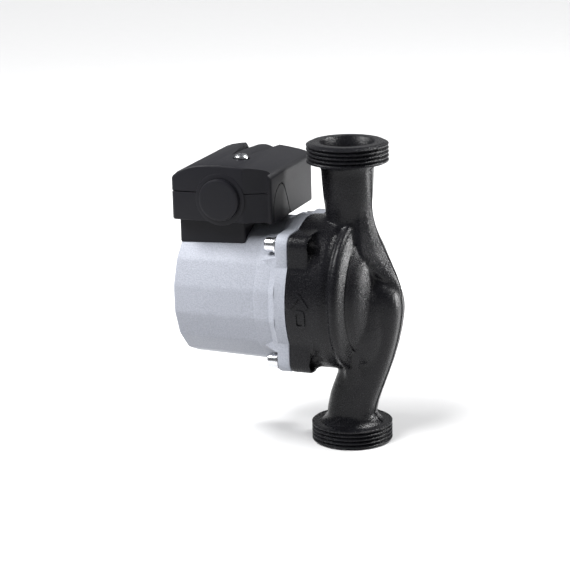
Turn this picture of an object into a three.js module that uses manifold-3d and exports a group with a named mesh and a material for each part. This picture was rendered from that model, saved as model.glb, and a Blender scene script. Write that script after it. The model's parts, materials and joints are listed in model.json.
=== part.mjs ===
// A heating circulator pump with union ports: iron casing, canned motor and terminal box.
// Millimetres. The pipe axis is +Z through the origin, the origin is the centre of the
// lower (inlet) port face, and the motor lies along -X at MOTOR_Z.
import * as THREE from 'three';
import { mergeVertices } from 'three/addons/utils/BufferGeometryUtils.js';
import Module from 'manifold-3d';

const wasm = await Module();
wasm.setup();

// ---------------------------------------------------------------- driving dimensions
const PORT_TO_PORT = 180;
const MOTOR_Z = 90; // height of the motor axis
const THREAD_R = 23.9; // G 1 1/2 outside thread
const THREAD_DEPTH = 1.4;
const THREAD_PITCH = 2.31;
const BORE_R = 11.3; // water way
const MOUTH_R = 16.3; // chamfered mouth of a port

const JOINT_X = -24; // plane between casing and motor
const LUG_BACK_X = -11.5; // back of the casing's square flange
const MOTOR_FLANGE_X = -31.5; // motor side of the aluminium flange
const MOTOR_END_X = -95;
const FLANGE_HALF_Y = 39;
const FLANGE_HALF_Z = 41;
const FLANGE_CORNER_R = 7;
const DRUM_R = 45;
const SCREW_Y = 34;
const SCREW_Z = 34.5;
const SCREW_R = 3;

const HOUSING_SIDES = 16;
const HOUSING_R_END = 41.5;
const HOUSING_R_FLANGE = 43.2;
const STATOR_BORE_R = 37.2;
const END_HOLE_R = 10;

const SHAFT_R = 4;
const BEARING_BORE_R = 4.05;
const SHAFT_SIDES = 24;

const BOX_X0 = -96.6;
const BOX_X1 = -34.5;
const BOX_HALF_Y = 34.5;
const BOX_Z0 = 136;
const BOX_SPLIT_Z = 153;
const BOX_SHOULDER_Z = 162.5;
const BOX_CROWN_Z = 168.6;
const BOX_WALL = 2.4;
const BOX_CORNER_R = 3;
const BOX_MID_X = (BOX_X0 + BOX_X1) / 2;
const SADDLE_X0 = -95;
const SADDLE_X1 = -54;
const SADDLE_HALF_Y = 27;
const ENTRY_X = -66;
const ENTRY_Z = 149.3;
const ENTRY_R = 10;
const SWITCH_X = BOX_X0;
const SWITCH_Y = 0;
const SWITCH_Z = 145;

const BOX_FLOOR_Z = BOX_Z0 + BOX_WALL + 0.2; // where the parts in the box stand
const BOX_SCREW_XS = [-88, -58]; // screws that hold the box on the housing
const LEAD_X = -76; // where the stator leads come up into the box
const COVER_SCREW_X = -62.5;
const COVER_SCREW_Y = -11.5;
const COVER_SCREW_TOP = BOX_CROWN_Z - 0.6;
const GROOVE_X = 5; // start of the two grooves beside the screw
const GROOVE_FALL_DEG = 4.6;
const GROOVE_TURN_DEG = 6.5;
const TERMINAL_X = -51;
const TERMINAL_YS = [8.5, 16, 23.5];
const TERMINAL_TOP_Z = 148;
const EARTH_X = -48;
const EARTH_Y = -8;

const GAP = 0.3;
const ROUND = 32; // sides of a large round piece
const SMALL_ROUND = 16; // sides of a small round piece
const PORT_SIDES = 28;

// ---------------------------------------------------------------- helpers
const group = new THREE.Group();

// A closed geometry as a solid: shared points merged, faces turned outwards.
function toSolid(geometry) {
  const plain = geometry.index ? geometry.toNonIndexed() : geometry;
  const bare = new THREE.BufferGeometry();
  bare.setAttribute('position', plain.getAttribute('position').clone());
  const merged = mergeVertices(bare, 1e-4);
  const p = merged.getAttribute('position').array;
  const index = merged.index.array;
  const kept = [];
  let volume = 0;
  for (let i = 0; i < index.length; i += 3) {
    const [a, b, c] = [index[i], index[i + 1], index[i + 2]];
    if (a === b || b === c || a === c) continue;
    kept.push(a, b, c);
    const va = new THREE.Vector3().fromArray(p, 3 * a);
    const vb = new THREE.Vector3().fromArray(p, 3 * b);
    const vc = new THREE.Vector3().fromArray(p, 3 * c);
    volume += va.dot(vb.cross(vc));
  }
  if (volume < 0) {
    for (let i = 0; i < kept.length; i += 3) {
      [kept[i + 1], kept[i + 2]] = [kept[i + 2], kept[i + 1]];
    }
  }
  const mesh = new wasm.Mesh({
    numProp: 3,
    vertProperties: new Float32Array(p),
    triVerts: new Uint32Array(kept),
  });
  return new wasm.Manifold(mesh);
}

function toGeometry(solid) {
  const mesh = solid.getMesh();
  const geometry = new THREE.BufferGeometry();
  geometry.setAttribute('position', new THREE.BufferAttribute(new Float32Array(mesh.vertProperties), 3));
  geometry.setIndex(new THREE.BufferAttribute(new Uint32Array(mesh.triVerts), 1));
  geometry.computeVertexNormals();
  return geometry;
}

const union = (first, ...rest) => rest.reduce((sum, next) => sum.add(next), first);
const cut = (first, ...rest) => rest.reduce((left, tool) => left.subtract(tool), first);

// Round piece about the motor axis, or a line parallel to it. Profile points are [x, r].
function turnedX(profile, sides = ROUND, y = 0, z = MOTOR_Z, turn = 0) {
  const points = profile.map(([x, r]) => new THREE.Vector2(r, x));
  const geometry = new THREE.LatheGeometry(points, sides);
  geometry.rotateY(turn);
  geometry.rotateZ(-Math.PI / 2);
  geometry.translate(0, y, z);
  return toSolid(geometry);
}

// Round piece about an upright line. Profile points are [z, r].
function turnedZ(profile, sides = ROUND, x = 0, y = 0) {
  const points = profile.map(([z, r]) => new THREE.Vector2(r, z));
  const geometry = new THREE.LatheGeometry(points, sides);
  geometry.rotateX(Math.PI / 2);
  geometry.translate(x, y, 0);
  return toSolid(geometry);
}

// Round piece about a line along Y. Profile points are [y, r].
function turnedY(profile, sides, x, z) {
  const points = profile.map(([y, r]) => new THREE.Vector2(r, y));
  const geometry = new THREE.LatheGeometry(points, sides);
  geometry.translate(x, 0, z);
  return toSolid(geometry);
}

const rod = (from, to, r) => [[from, 0], [from, r], [to, r], [to, 0]];
const tube = (from, to, inner, outer) => [[from, inner], [from, outer], [to, outer], [to, inner], [from, inner]];

function outline(points) {
  return new THREE.Shape(points.map(([a, b]) => new THREE.Vector2(a, b)));
}

function roundedRectangle(a0, b0, a1, b1, r) {
  const shape = new THREE.Shape();
  shape.moveTo(a0 + r, b0);
  shape.lineTo(a1 - r, b0);
  shape.absarc(a1 - r, b0 + r, r, -Math.PI / 2, 0);
  shape.lineTo(a1, b1 - r);
  shape.absarc(a1 - r, b1 - r, r, 0, Math.PI / 2);
  shape.lineTo(a0 + r, b1);
  shape.absarc(a0 + r, b1 - r, r, Math.PI / 2, Math.PI);
  shape.lineTo(a0, b0 + r);
  shape.absarc(a0 + r, b0 + r, r, Math.PI, 1.5 * Math.PI);
  return shape;
}

const X = new THREE.Vector3(1, 0, 0);
const Y = new THREE.Vector3(0, 1, 0);
const Z = new THREE.Vector3(0, 0, 1);

function prism(shape, length, basis, start, curveSegments = 3) {
  const geometry = new THREE.ExtrudeGeometry(shape, { depth: length, bevelEnabled: false, curveSegments });
  geometry.applyMatrix4(basis);
  geometry.translate(start.x, start.y, start.z);
  return toSolid(geometry);
}

// Outlines in (y, z), (x, z) and (x, y), pulled along X, Y and Z.
const prismX = (shape, x0, x1, arcs) =>
  prism(shape, x1 - x0, new THREE.Matrix4().makeBasis(Y, Z, X), new THREE.Vector3(x0, 0, 0), arcs);
const prismY = (shape, y0, y1, arcs) =>
  prism(shape, y1 - y0, new THREE.Matrix4().makeBasis(X, Z, Y.clone().negate()), new THREE.Vector3(0, y1, 0), arcs);
const prismZ = (shape, z0, z1, arcs) =>
  prism(shape, z1 - z0, new THREE.Matrix4(), new THREE.Vector3(0, 0, z0), arcs);

function block(x0, x1, y0, y1, z0, z1) {
  const geometry = new THREE.BoxGeometry(x1 - x0, y1 - y0, z1 - z0);
  geometry.translate((x0 + x1) / 2, (y0 + y1) / 2, (z0 + z1) / 2);
  return toSolid(geometry);
}

function material(colour, roughness, metalness) {
  return new THREE.MeshStandardMaterial({ color: colour, roughness, metalness });
}
const blackIron = () => material(0x232326, 0.5, 0.1);
const castAluminium = () => material(0xc4c8d4, 0.5, 0.6);
const blackPlastic = () => material(0x2c2c30, 0.55, 0);
const greyPlastic = () => material(0x8a8c90, 0.5, 0);
const blackRubber = () => material(0x18181a, 0.8, 0);
const steel = () => material(0xb8bbc0, 0.3, 0.9);
const brass = () => material(0xb59a55, 0.35, 0.9);
const copper = () => material(0xa5633a, 0.4, 0.8);
const ceramic = () => material(0xd8d6cf, 0.4, 0);
const laminated = () => material(0x6f7276, 0.5, 0.8);

function part(name, solid, look) {
  const mesh = new THREE.Mesh(toGeometry(solid), look);
  mesh.name = name;
  group.add(mesh);
}

// ---------------------------------------------------------------- iron casing
const SECTION_HALF = 13.7; // half width of the inlet pipe's rounded square section
const SECTION_R = 9;
const BEND_X = 18.4; // centre of the inlet bend
const BEND_Z = 89.5;
const ARROW_RISE = 0.7;

const inletRoute = new THREE.CatmullRomCurve3([
  new THREE.Vector3(0, 0, 8),
  new THREE.Vector3(0.3, 0, 18),
  new THREE.Vector3(2.6, 0, 29),
  new THREE.Vector3(7.2, 0, 41),
  new THREE.Vector3(12.2, 0, 53),
  new THREE.Vector3(16.2, 0, 66),
  new THREE.Vector3(18.1, 0, 78),
  new THREE.Vector3(BEND_X, 0, 89),
]);

function sweep(shape, steps, curveSegments) {
  return toSolid(new THREE.ExtrudeGeometry(shape, { steps, extrudePath: inletRoute, curveSegments }));
}

function portThread(face, inward) {
  const profile = [[face, 0], [face, THREAD_R - 2.2]];
  const turns = 4;
  for (let i = 0; i < turns; i += 1) {
    const start = face + inward * (1 + i * THREAD_PITCH);
    profile.push([start, THREAD_R]);
    profile.push([start + inward * 0.9, THREAD_R]);
    profile.push([start + inward * 1.6, THREAD_R - THREAD_DEPTH]);
  }
  const back = face + inward * (1 + turns * THREAD_PITCH);
  profile.push([back, THREAD_R]);
  profile.push([back + inward * 1.2, THREAD_R]);
  profile.push([back + inward * 1.2, 0]);
  return turnedZ(profile, PORT_SIDES);
}

function flangeOutline() {
  return roundedRectangle(
    -FLANGE_HALF_Y, MOTOR_Z - FLANGE_HALF_Z, FLANGE_HALF_Y, MOTOR_Z + FLANGE_HALF_Z, FLANGE_CORNER_R);
}

const corners = [[-1, 1], [1, 1], [-1, -1], [1, -1]];

function casingDrum() {
  return turnedX([
    [JOINT_X, 0], [JOINT_X, DRUM_R], [-2, DRUM_R], [0.6, 43.4], [2.6, 44.2], [5.4, 44.2],
    [7.6, 42], [9, 36.8], [10.6, 34.6], [13, 28], [15.5, 18], [16.5, 0],
  ], ROUND);
}

function outletPipe() {
  const round = turnedZ([
    [118, 0], [118, 13], [138, 13.1], [147, 14.3], [156, 15], [166, 15.5], [169, 17.5], [169, 0],
  ], 28);
  const flat = block(12, 20, -20, 20, 138, 165.5);
  return cut(round, flat);
}

function web() {
  return prismY(outline([
    [-2, 118], [-2, 150], [11.8, 152], [12.9, 142], [15, 134], [18.3, 124], [22.9, 113.6],
    [26.9, 105.3], [30, 98.9], [31.6, 93], [22, 86], [2, 92],
  ]), -8, 8);
}

function inletPipe() {
  const section = roundedRectangle(-SECTION_HALF, -SECTION_HALF, SECTION_HALF, SECTION_HALF, SECTION_R);
  const pipe = sweep(section, 10, 2);
  const elbow = new THREE.SphereGeometry(15.3, 18, 10);
  elbow.translate(BEND_X, 0, BEND_Z);
  const hub = turnedX([[2, 0], [2, 19], [11, 17.5], [BEND_X, 13.6], [BEND_X, 0]], 24);
  return union(pipe, toSolid(elbow), hub);
}

function waterWays() {
  const chamber = turnedX([
    [JOINT_X - 1, 0], [JOINT_X - 1, 42], [-22, 42], [-22, 38.6], [-19.3, 38.6], [-19.3, 37.4],
    [1, 37.4], [1, 31.6], [-5, 31.6], [-5, 13.8], [0, 13.8], [0, BORE_R], [BEND_X, BORE_R], [BEND_X, 0],
  ], ROUND);
  const elbow = new THREE.SphereGeometry(BORE_R, 14, 8);
  elbow.translate(BEND_X, 0, BEND_Z);
  const bore = new THREE.Shape();
  bore.absarc(0, 0, BORE_R, 0, 2 * Math.PI);
  const riser = sweep(bore, 10, 6);
  const inletMouth = turnedZ([[-1, 0], [-1, MOUTH_R], [0, MOUTH_R], [8, 12.5], [12, BORE_R], [12, 0]], 24);
  const outlet = turnedZ([
    [122, 0], [122, 11], [150, 11], [162, 12.4], [171, 12.5],
    [PORT_TO_PORT, MOUTH_R], [PORT_TO_PORT + 1, MOUTH_R], [PORT_TO_PORT + 1, 0],
  ], 24);
  return union(chamber, toSolid(elbow), riser, inletMouth, outlet);
}

// Raised arrow on the near side of the drum: a chevron over an oblong ring.
function flowArrow() {
  const from = -DRUM_R - ARROW_RISE;
  const to = -DRUM_R + 5;
  const head = outline([
    [-15.3, 99.4], [-9.6, 91.6], [-11, 90.6], [-15.3, 96.6], [-19.7, 90.6], [-21.1, 91.6]]);
  const outer = prismY(roundedRectangle(-18.6, 78.8, -12, 89.8, 2.4), from, to);
  const inner = prismY(roundedRectangle(-17, 80.4, -13.6, 88.2, 1.2), from - 1, to + 1);
  return union(prismY(head, from, to), cut(outer, inner));
}

function voluteCasing() {
  const flange = prismX(flangeOutline(), JOINT_X, LUG_BACK_X);
  let casing = union(casingDrum(), flange, outletPipe(), web(), inletPipe());
  casing = union(casing, portThread(0, 1), portThread(PORT_TO_PORT, -1), flowArrow());
  casing = cut(casing, waterWays());
  for (const [sy, sz] of corners) {
    const y = sy * SCREW_Y;
    const z = MOTOR_Z + sz * SCREW_Z;
    casing = cut(casing, turnedX(rod(JOINT_X - 1, LUG_BACK_X + 3, SCREW_R + 0.15), 14, y, z));
  }
  return casing;
}

part('volute_casing', voluteCasing(), blackIron());
part('wear_ring', turnedX(tube(-4.9, -0.2, 12.1, 13.6), ROUND), steel());
part('casing_gasket', turnedX(tube(-23.8, -22.2, 38.9, 41.6), ROUND), blackRubber());

// ---------------------------------------------------------------- rotor
const IMPELLER_R = 30.5;
const BLADES = 6;

function impellerBlades() {
  const height = 11;
  const pieces = [];
  for (let i = 0; i < BLADES; i += 1) {
    const blade = new THREE.BoxGeometry(height, 19, 1.8);
    blade.rotateX(0.75);
    blade.translate(-13, 0, 0);
    const swept = blade.clone().translate(0, 14.5, 12.5);
    swept.rotateX((i * 2 * Math.PI) / BLADES);
    swept.translate(0, 0, MOTOR_Z);
    pieces.push(toSolid(swept));
  }
  return union(...pieces);
}

function impeller() {
  const back = turnedX(tube(-18.6, -16.6, 4.15, IMPELLER_R), ROUND);
  const hub = turnedX(tube(-18.6, -9.5, 4.15, 7.5), SHAFT_SIDES);
  const front = turnedX([
    [-9.4, 11.4], [-8.2, IMPELLER_R], [-6.8, IMPELLER_R], [-7.2, 11.7], [-1.5, 11.7], [-1.5, 10], [-9.4, 10],
    [-9.4, 11.4],
  ], ROUND);
  const envelope = turnedX(tube(-18.6, -6.8, 4.15, IMPELLER_R), ROUND);
  const blades = impellerBlades().intersect(envelope);
  return union(back, hub, front, blades);
}

part('impeller', impeller(), greyPlastic());
part('shaft', turnedX(rod(-83.8, -9, SHAFT_R), SHAFT_SIDES), ceramic());
part('thrust_disc', turnedX(tube(-31.8, -30.4, 4.1, 7.6), SHAFT_SIDES), blackRubber());
part('rotor_core', turnedX(tube(-72, -32, 4.1, 19.1), 32), steel());

// ---------------------------------------------------------------- wet side of the motor
part('bearing_plate', turnedX([
  [-21.9, 9.6], [-21.9, 38.2], [-20.9, 38.2], [-20.9, 12], [-19.4, 9.6], [-19.4, 6.4], [-30, 6.4], [-30, 9.6],
  [-21.9, 9.6],
], ROUND), steel());
part('front_bearing', turnedX(tube(-30, -19.6, BEARING_BORE_R, 6.15), SHAFT_SIDES), ceramic());
part('separating_can', turnedX([
  [-22.2, 19.8], [-22.2, 33], [-22.8, 33], [-22.8, 20.5], [-86.2, 20.5], [-86.2, 7.1], [-85.6, 7.1],
  [-85.6, 19.8], [-22.2, 19.8],
], ROUND), steel());
part('can_seal_ring', turnedX([
  [-23.6, 34.4], [-22.9, 33.8], [-22.2, 34.4], [-22.2, 35.4], [-22.9, 36], [-23.6, 35.4], [-23.6, 34.4],
], 32), blackRubber());
part('rear_bearing', turnedX(tube(-84, -75, BEARING_BORE_R, 6.15), SHAFT_SIDES), ceramic());
part('rear_bearing_plate', turnedX([
  [-80.5, 6.4], [-84.2, 6.4], [-84.2, 9], [-82, 9], [-82, 19.4], [-80.5, 19.4], [-80.5, 6.4],
], 32), steel());

// ---------------------------------------------------------------- stator
function statorCore() {
  const slots = 12;
  let core = turnedX(tube(-72, -32, 21.2, 36.9), ROUND);
  for (let i = 0; i < slots; i += 1) {
    const slot = new THREE.BoxGeometry(42, 4.4, 9);
    slot.translate(-52, 0, 27.5);
    slot.rotateX((i * 2 * Math.PI) / slots);
    slot.translate(0, 0, MOTOR_Z);
    core = core.subtract(toSolid(slot));
  }
  return core;
}

const winding = (x0, x1) => turnedX([
  [x0, 24], [x0 + 1.5, 22.2], [x1 - 1.5, 22.2], [x1, 24], [x1, 31.5], [x1 - 1.5, 33.5], [x0 + 1.5, 33.5],
  [x0, 31.5], [x0, 24],
], 32);

part('stator_core', statorCore(), laminated());
part('stator_winding_front', winding(-31.7, -24.4), copper());
part('stator_winding_rear', winding(-80, -72.3), copper());

// ---------------------------------------------------------------- aluminium motor housing
function housingBody(offset) {
  const length = MOTOR_FLANGE_X + 1 - MOTOR_END_X;
  const geometry = new THREE.CylinderGeometry(
    HOUSING_R_FLANGE + offset, HOUSING_R_END + offset, length, HOUSING_SIDES, 1, false, Math.PI / HOUSING_SIDES);
  geometry.rotateZ(-Math.PI / 2);
  geometry.translate(MOTOR_END_X + length / 2, 0, MOTOR_Z);
  return toSolid(geometry);
}

function gusset(sy, sz) {
  const rib = outline([
    [-46, sy * 30], [-46, sy * 33], [MOTOR_FLANGE_X + 0.5, sy * FLANGE_HALF_Y], [MOTOR_FLANGE_X + 0.5, sy * 30]]);
  const z = MOTOR_Z + sz * 24;
  return prismZ(rib, z - 2.5, z + 2.5);
}

function motorHousing() {
  const flange = prismX(flangeOutline(), MOTOR_FLANGE_X, JOINT_X);
  const round = turnedX(rod(MOTOR_FLANGE_X, JOINT_X, DRUM_R), ROUND);
  let housing = union(housingBody(0), flange, round, ...corners.map(([sy, sz]) => gusset(sy, sz)));
  const bore = turnedX([
    [-90, 0], [-90, STATOR_BORE_R - 1.2], [-88, STATOR_BORE_R], [-26, STATOR_BORE_R], [-23, STATOR_BORE_R],
    [-23, 0]], ROUND);
  const endHole = turnedX(rod(-96, -89, END_HOLE_R), SMALL_ROUND);
  const leadHole = turnedZ(rod(MOTOR_Z + 30, MOTOR_Z + 50, 6.5), SMALL_ROUND, LEAD_X, 0);
  housing = cut(housing, bore, endHole, leadHole);
  for (const [sy, sz] of corners) {
    const z = MOTOR_Z + sz * SCREW_Z;
    housing = cut(housing, turnedX(rod(MOTOR_FLANGE_X - 1, JOINT_X + 1, SCREW_R + 0.3), 14, sy * SCREW_Y, z));
    housing = cut(housing, turnedX(rod(-44, MOTOR_FLANGE_X, 5), 14, sy * SCREW_Y, z));
  }
  for (const x of BOX_SCREW_XS) {
    housing = cut(housing, turnedZ(rod(MOTOR_Z + 38.4, MOTOR_Z + 50, 1.6), 12, x, 0));
  }
  return housing;
}

function motorScrew(sy, sz) {
  const head = turnedX(
    [[-37, 0], [-37, 3.6], [-36.4, 4.3], [MOTOR_FLANGE_X - 0.1, 4.3], [MOTOR_FLANGE_X - 0.1, 0]],
    18, sy * SCREW_Y, MOTOR_Z + sz * SCREW_Z);
  const shank = turnedX(rod(-33, LUG_BACK_X, SCREW_R - 0.1), 14, sy * SCREW_Y, MOTOR_Z + sz * SCREW_Z);
  const socket = turnedX(rod(-38, -34.2, 2.4), 6, sy * SCREW_Y, MOTOR_Z + sz * SCREW_Z);
  return cut(union(head, shank), socket);
}

function ventPlug() {
  const body = turnedX([
    [-100.6, 0], [-100.6, 12], [-99.8, 12.8], [-96.5, 12.8], [-96.5, 9.6], [-87, 9.6], [-87, 6.8], [-84.8, 6.8],
    [-84.8, 0]], 28);
  return cut(body, block(-102, -98.4, -14, 14, MOTOR_Z - 1.2, MOTOR_Z + 1.2));
}

part('motor_housing', motorHousing(), castAluminium());
corners.forEach(([sy, sz], i) => part(`motor_screw_${i + 1}`, motorScrew(sy, sz), steel()));
part('vent_plug', ventPlug(), brass());
part('vent_plug_seal', turnedX(tube(-96.4, -95.1, 9.8, 12.2), 28), blackRubber());
part('rating_plate', turnedX(tube(-95.5, -95.1, 16, 31), ROUND), steel());

// ---------------------------------------------------------------- terminal box
const boxPlan = (inset, r) => roundedRectangle(
  BOX_X0 + inset, -BOX_HALF_Y + inset, BOX_X1 - inset, BOX_HALF_Y - inset, r);

// Outline of the box in (x, z) with its crowned top, drawn in by an inset.
function crownedOutline(z0, inset) {
  const shape = new THREE.Shape();
  shape.moveTo(BOX_X0 + inset, z0);
  shape.lineTo(BOX_X1 - inset, z0);
  shape.lineTo(BOX_X1 - inset, BOX_SHOULDER_Z - 1 - inset);
  shape.lineTo(BOX_X1 - 2.5 - inset, BOX_SHOULDER_Z + 1.8 - inset);
  shape.quadraticCurveTo(BOX_MID_X, 2 * BOX_CROWN_Z - BOX_SHOULDER_Z - 2.6 - inset,
    BOX_X0 + 4 + inset, BOX_SHOULDER_Z + 1.6 - inset);
  shape.lineTo(BOX_X0 + inset, BOX_SHOULDER_Z - 2.4 - inset);
  shape.closePath();
  return shape;
}

// Shallow wedge taken out of the near side beside the joint end.
const sideRecess = () => prismZ(
  outline([[-51.5, -BOX_HALF_Y - 1], [-51.5, -BOX_HALF_Y], [-36.8, -BOX_HALF_Y + 2.4], [-36.8, -BOX_HALF_Y - 1]]),
  BOX_Z0 - 1, BOX_SHOULDER_Z);

const cableEntries = () => union(
  turnedY(rod(-BOX_HALF_Y - 1, -BOX_HALF_Y + 5, ENTRY_R), 24, ENTRY_X, ENTRY_Z),
  turnedY(rod(BOX_HALF_Y - 5, BOX_HALF_Y + 1, ENTRY_R), 24, ENTRY_X, ENTRY_Z));

function knockOutShape(inset) {
  const shape = new THREE.Shape();
  shape.moveTo(-2.6 - inset, BOX_Z0 + 2 + inset);
  shape.lineTo(-3.6 - inset, 145);
  shape.quadraticCurveTo(-8, 157 - inset, -17, 157 - inset);
  shape.quadraticCurveTo(-26, 157 - inset, -29 + inset, 147);
  shape.lineTo(-30 + inset, BOX_Z0 + 2 + inset);
  shape.closePath();
  return shape;
}

function boxBase() {
  const shell = cut(
    prismZ(boxPlan(0, BOX_CORNER_R), BOX_Z0, BOX_SPLIT_Z),
    prismZ(boxPlan(BOX_WALL, 1.2), BOX_Z0 + BOX_WALL, BOX_SPLIT_Z + 1));
  const saddle = cut(
    block(SADDLE_X0, SADDLE_X1, -SADDLE_HALF_Y, SADDLE_HALF_Y, 118, BOX_Z0 + 0.5),
    block(SADDLE_X0 + BOX_WALL, SADDLE_X1 - BOX_WALL, -SADDLE_HALF_Y + BOX_WALL, SADDLE_HALF_Y - BOX_WALL,
      117, BOX_Z0 - 1),
    housingBody(GAP));
  let base = union(shell, saddle);
  base = cut(base, turnedZ(rod(BOX_Z0 - 3, BOX_Z0 + 4, 8), SMALL_ROUND, LEAD_X, 0));
  for (const x of BOX_SCREW_XS) {
    const pillar = turnedZ(rod(MOTOR_Z + 42.3, BOX_Z0 + 1, 4), 14, x, 0);
    const hole = turnedZ(rod(MOTOR_Z + 40, BOX_Z0 + 4, 1.9), 12, x, 0);
    base = cut(union(base, pillar), hole);
  }
  const pillar = turnedZ(rod(BOX_Z0 + 1, BOX_SPLIT_Z - 1, 4), 14, COVER_SCREW_X, COVER_SCREW_Y);
  base = union(base, pillar);
  base = cut(base, turnedZ(rod(BOX_Z0 + 6, BOX_SPLIT_Z, 1.9), 12, COVER_SCREW_X, COVER_SCREW_Y));
  base = cut(base, turnedX(rod(SWITCH_X - 1, SWITCH_X + 4, 5.3), SMALL_ROUND, SWITCH_Y, SWITCH_Z));
  return cut(base, sideRecess(), cableEntries(), prismX(knockOutShape(0), BOX_X1 - 3, BOX_X1 + 1));
}

function boxCover() {
  const plan = prismZ(boxPlan(0, BOX_CORNER_R), BOX_SPLIT_Z + GAP, BOX_CROWN_Z + 2);
  const outer = prismY(crownedOutline(BOX_SPLIT_Z, 0), -BOX_HALF_Y, BOX_HALF_Y, 8).intersect(plan);
  const inner = prismY(crownedOutline(BOX_SPLIT_Z - 2, BOX_WALL), -BOX_HALF_Y + BOX_WALL,
    BOX_HALF_Y - BOX_WALL, 8);
  let cover = cut(outer, inner);
  const pillar = turnedZ(rod(BOX_SPLIT_Z + 1, BOX_CROWN_Z - 1.2, 4), 14, COVER_SCREW_X, COVER_SCREW_Y);
  const hole = turnedZ(rod(BOX_SPLIT_Z, BOX_CROWN_Z + 2, 2), 12, COVER_SCREW_X, COVER_SCREW_Y);
  const sink = turnedZ(rod(COVER_SCREW_TOP - 0.4, BOX_CROWN_Z + 2, 4.6), SMALL_ROUND, COVER_SCREW_X, COVER_SCREW_Y);
  cover = cut(union(cover, pillar), hole, sink);
  for (const side of [-1, 1]) {
    const groove = prismY(outline([[-3, 3.5], [0, 0], [3, 3.5]]), -2, BOX_HALF_Y + 3);
    const sloped = groove.rotate([-GROOVE_FALL_DEG, 0, 0]).rotate([0, 0, side * -GROOVE_TURN_DEG]);
    cover = cut(cover, sloped.translate([BOX_MID_X + side * GROOVE_X, 0, BOX_CROWN_Z - 0.6]));
  }
  return cut(cover, sideRecess(), cableEntries(), prismX(knockOutShape(0), BOX_X1 - 3, BOX_X1 + 1));
}

part('terminal_box_base', boxBase(), blackPlastic());
part('terminal_box_cover', boxCover(), blackPlastic());

function coverScrew() {
  const head = turnedZ([
    [COVER_SCREW_TOP, 0], [COVER_SCREW_TOP, 4], [COVER_SCREW_TOP + 1.4, 3.7], [COVER_SCREW_TOP + 2.3, 2.4],
    [COVER_SCREW_TOP + 2.6, 0]], SMALL_ROUND, COVER_SCREW_X, COVER_SCREW_Y);
  const shank = turnedZ(rod(BOX_Z0 + 8, COVER_SCREW_TOP + 0.5, 1.7), 12, COVER_SCREW_X, COVER_SCREW_Y);
  const z0 = COVER_SCREW_TOP + 1;
  const slotX = block(COVER_SCREW_X - 2, COVER_SCREW_X + 2, COVER_SCREW_Y - 0.5, COVER_SCREW_Y + 0.5, z0, z0 + 3);
  const slotY = block(COVER_SCREW_X - 0.5, COVER_SCREW_X + 0.5, COVER_SCREW_Y - 2, COVER_SCREW_Y + 2, z0, z0 + 3);
  return cut(union(head, shank), slotX, slotY);
}

function cableBlank() {
  return turnedY([
    [-BOX_HALF_Y - 2.2, 0], [-BOX_HALF_Y - 2.2, 11.7], [-BOX_HALF_Y - 1.6, 12.3], [-BOX_HALF_Y - 0.1, 12.3],
    [-BOX_HALF_Y - 0.1, ENTRY_R - GAP], [-BOX_HALF_Y + 4, ENTRY_R - GAP], [-BOX_HALF_Y + 4, 0],
  ], 32, ENTRY_X, ENTRY_Z);
}

function glandBody() {
  const wall = BOX_HALF_Y;
  return turnedY([
    [wall - 5, 6.2], [wall - 5, ENTRY_R - GAP], [wall + 0.1, ENTRY_R - GAP], [wall + 0.1, 12.3], [wall + 3.5, 12.3],
    [wall + 3.5, 9.2], [wall + 10, 9.2], [wall + 10, 6.2], [wall - 5, 6.2],
  ], 24, ENTRY_X, ENTRY_Z);
}

function glandNut() {
  const wall = BOX_HALF_Y;
  return turnedY([
    [wall + 4, 9.9], [wall + 4, 12.2], [wall + 12, 12.2], [wall + 16, 8.2], [wall + 16, 5.2], [wall + 14.5, 5.2],
    [wall + 10.6, 9.9], [wall + 4, 9.9],
  ], 12, ENTRY_X, ENTRY_Z);
}

part('cover_screw', coverScrew(), steel());
part('cable_blanking_plug', cableBlank(), blackPlastic());
part('gland_body', glandBody(), blackPlastic());
part('gland_nut', glandNut(), blackPlastic());
part('gland_seal', turnedY(tube(BOX_HALF_Y + 1, BOX_HALF_Y + 9.8, 4.4, 5.9), 24, ENTRY_X, ENTRY_Z), blackRubber());
part('knock_out', prismX(knockOutShape(GAP), BOX_X1 - 2.2, BOX_X1 - 0.1), blackPlastic());

// ---------------------------------------------------------------- electrical parts in the box
function terminalBlock() {
  let body = block(TERMINAL_X - 7, TERMINAL_X + 7, TERMINAL_YS[0] - 4, TERMINAL_YS[2] + 3.5, BOX_FLOOR_Z,
    TERMINAL_TOP_Z);
  for (const y of TERMINAL_YS) {
    body = cut(body, turnedZ(rod(TERMINAL_TOP_Z - 4, TERMINAL_TOP_Z + 1, 2.3), 12, TERMINAL_X, y));
  }
  return body;
}

function terminalScrew(y) {
  const head = turnedZ(rod(TERMINAL_TOP_Z - 3.8, TERMINAL_TOP_Z - 1, 2), 12, TERMINAL_X, y);
  const slot = block(TERMINAL_X - 3, TERMINAL_X + 3, y - 0.3, y + 0.3, TERMINAL_TOP_Z - 1.8, TERMINAL_TOP_Z);
  return cut(head, slot);
}

part('terminal_block', terminalBlock(), greyPlastic());
TERMINAL_YS.forEach((y, i) => part(`terminal_screw_${i + 1}`, terminalScrew(y), brass()));

const runCapacitor = () =>
  turnedX([[-92, 0], [-92, 6], [-91, 6.8], [-70, 6.8], [-69, 6], [-69, 0]], SMALL_ROUND, 22, 145.6);

function earthScrew() {
  const head = turnedZ(rod(BOX_FLOOR_Z + 2.4, BOX_FLOOR_Z + 4.8, 3), 12, EARTH_X, EARTH_Y);
  const shank = turnedZ(rod(BOX_FLOOR_Z, BOX_FLOOR_Z + 3.4, 1.6), 12, EARTH_X, EARTH_Y);
  return union(head, shank);
}

part('run_capacitor', runCapacitor(), greyPlastic());
part('earth_screw', earthScrew(), brass());

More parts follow.
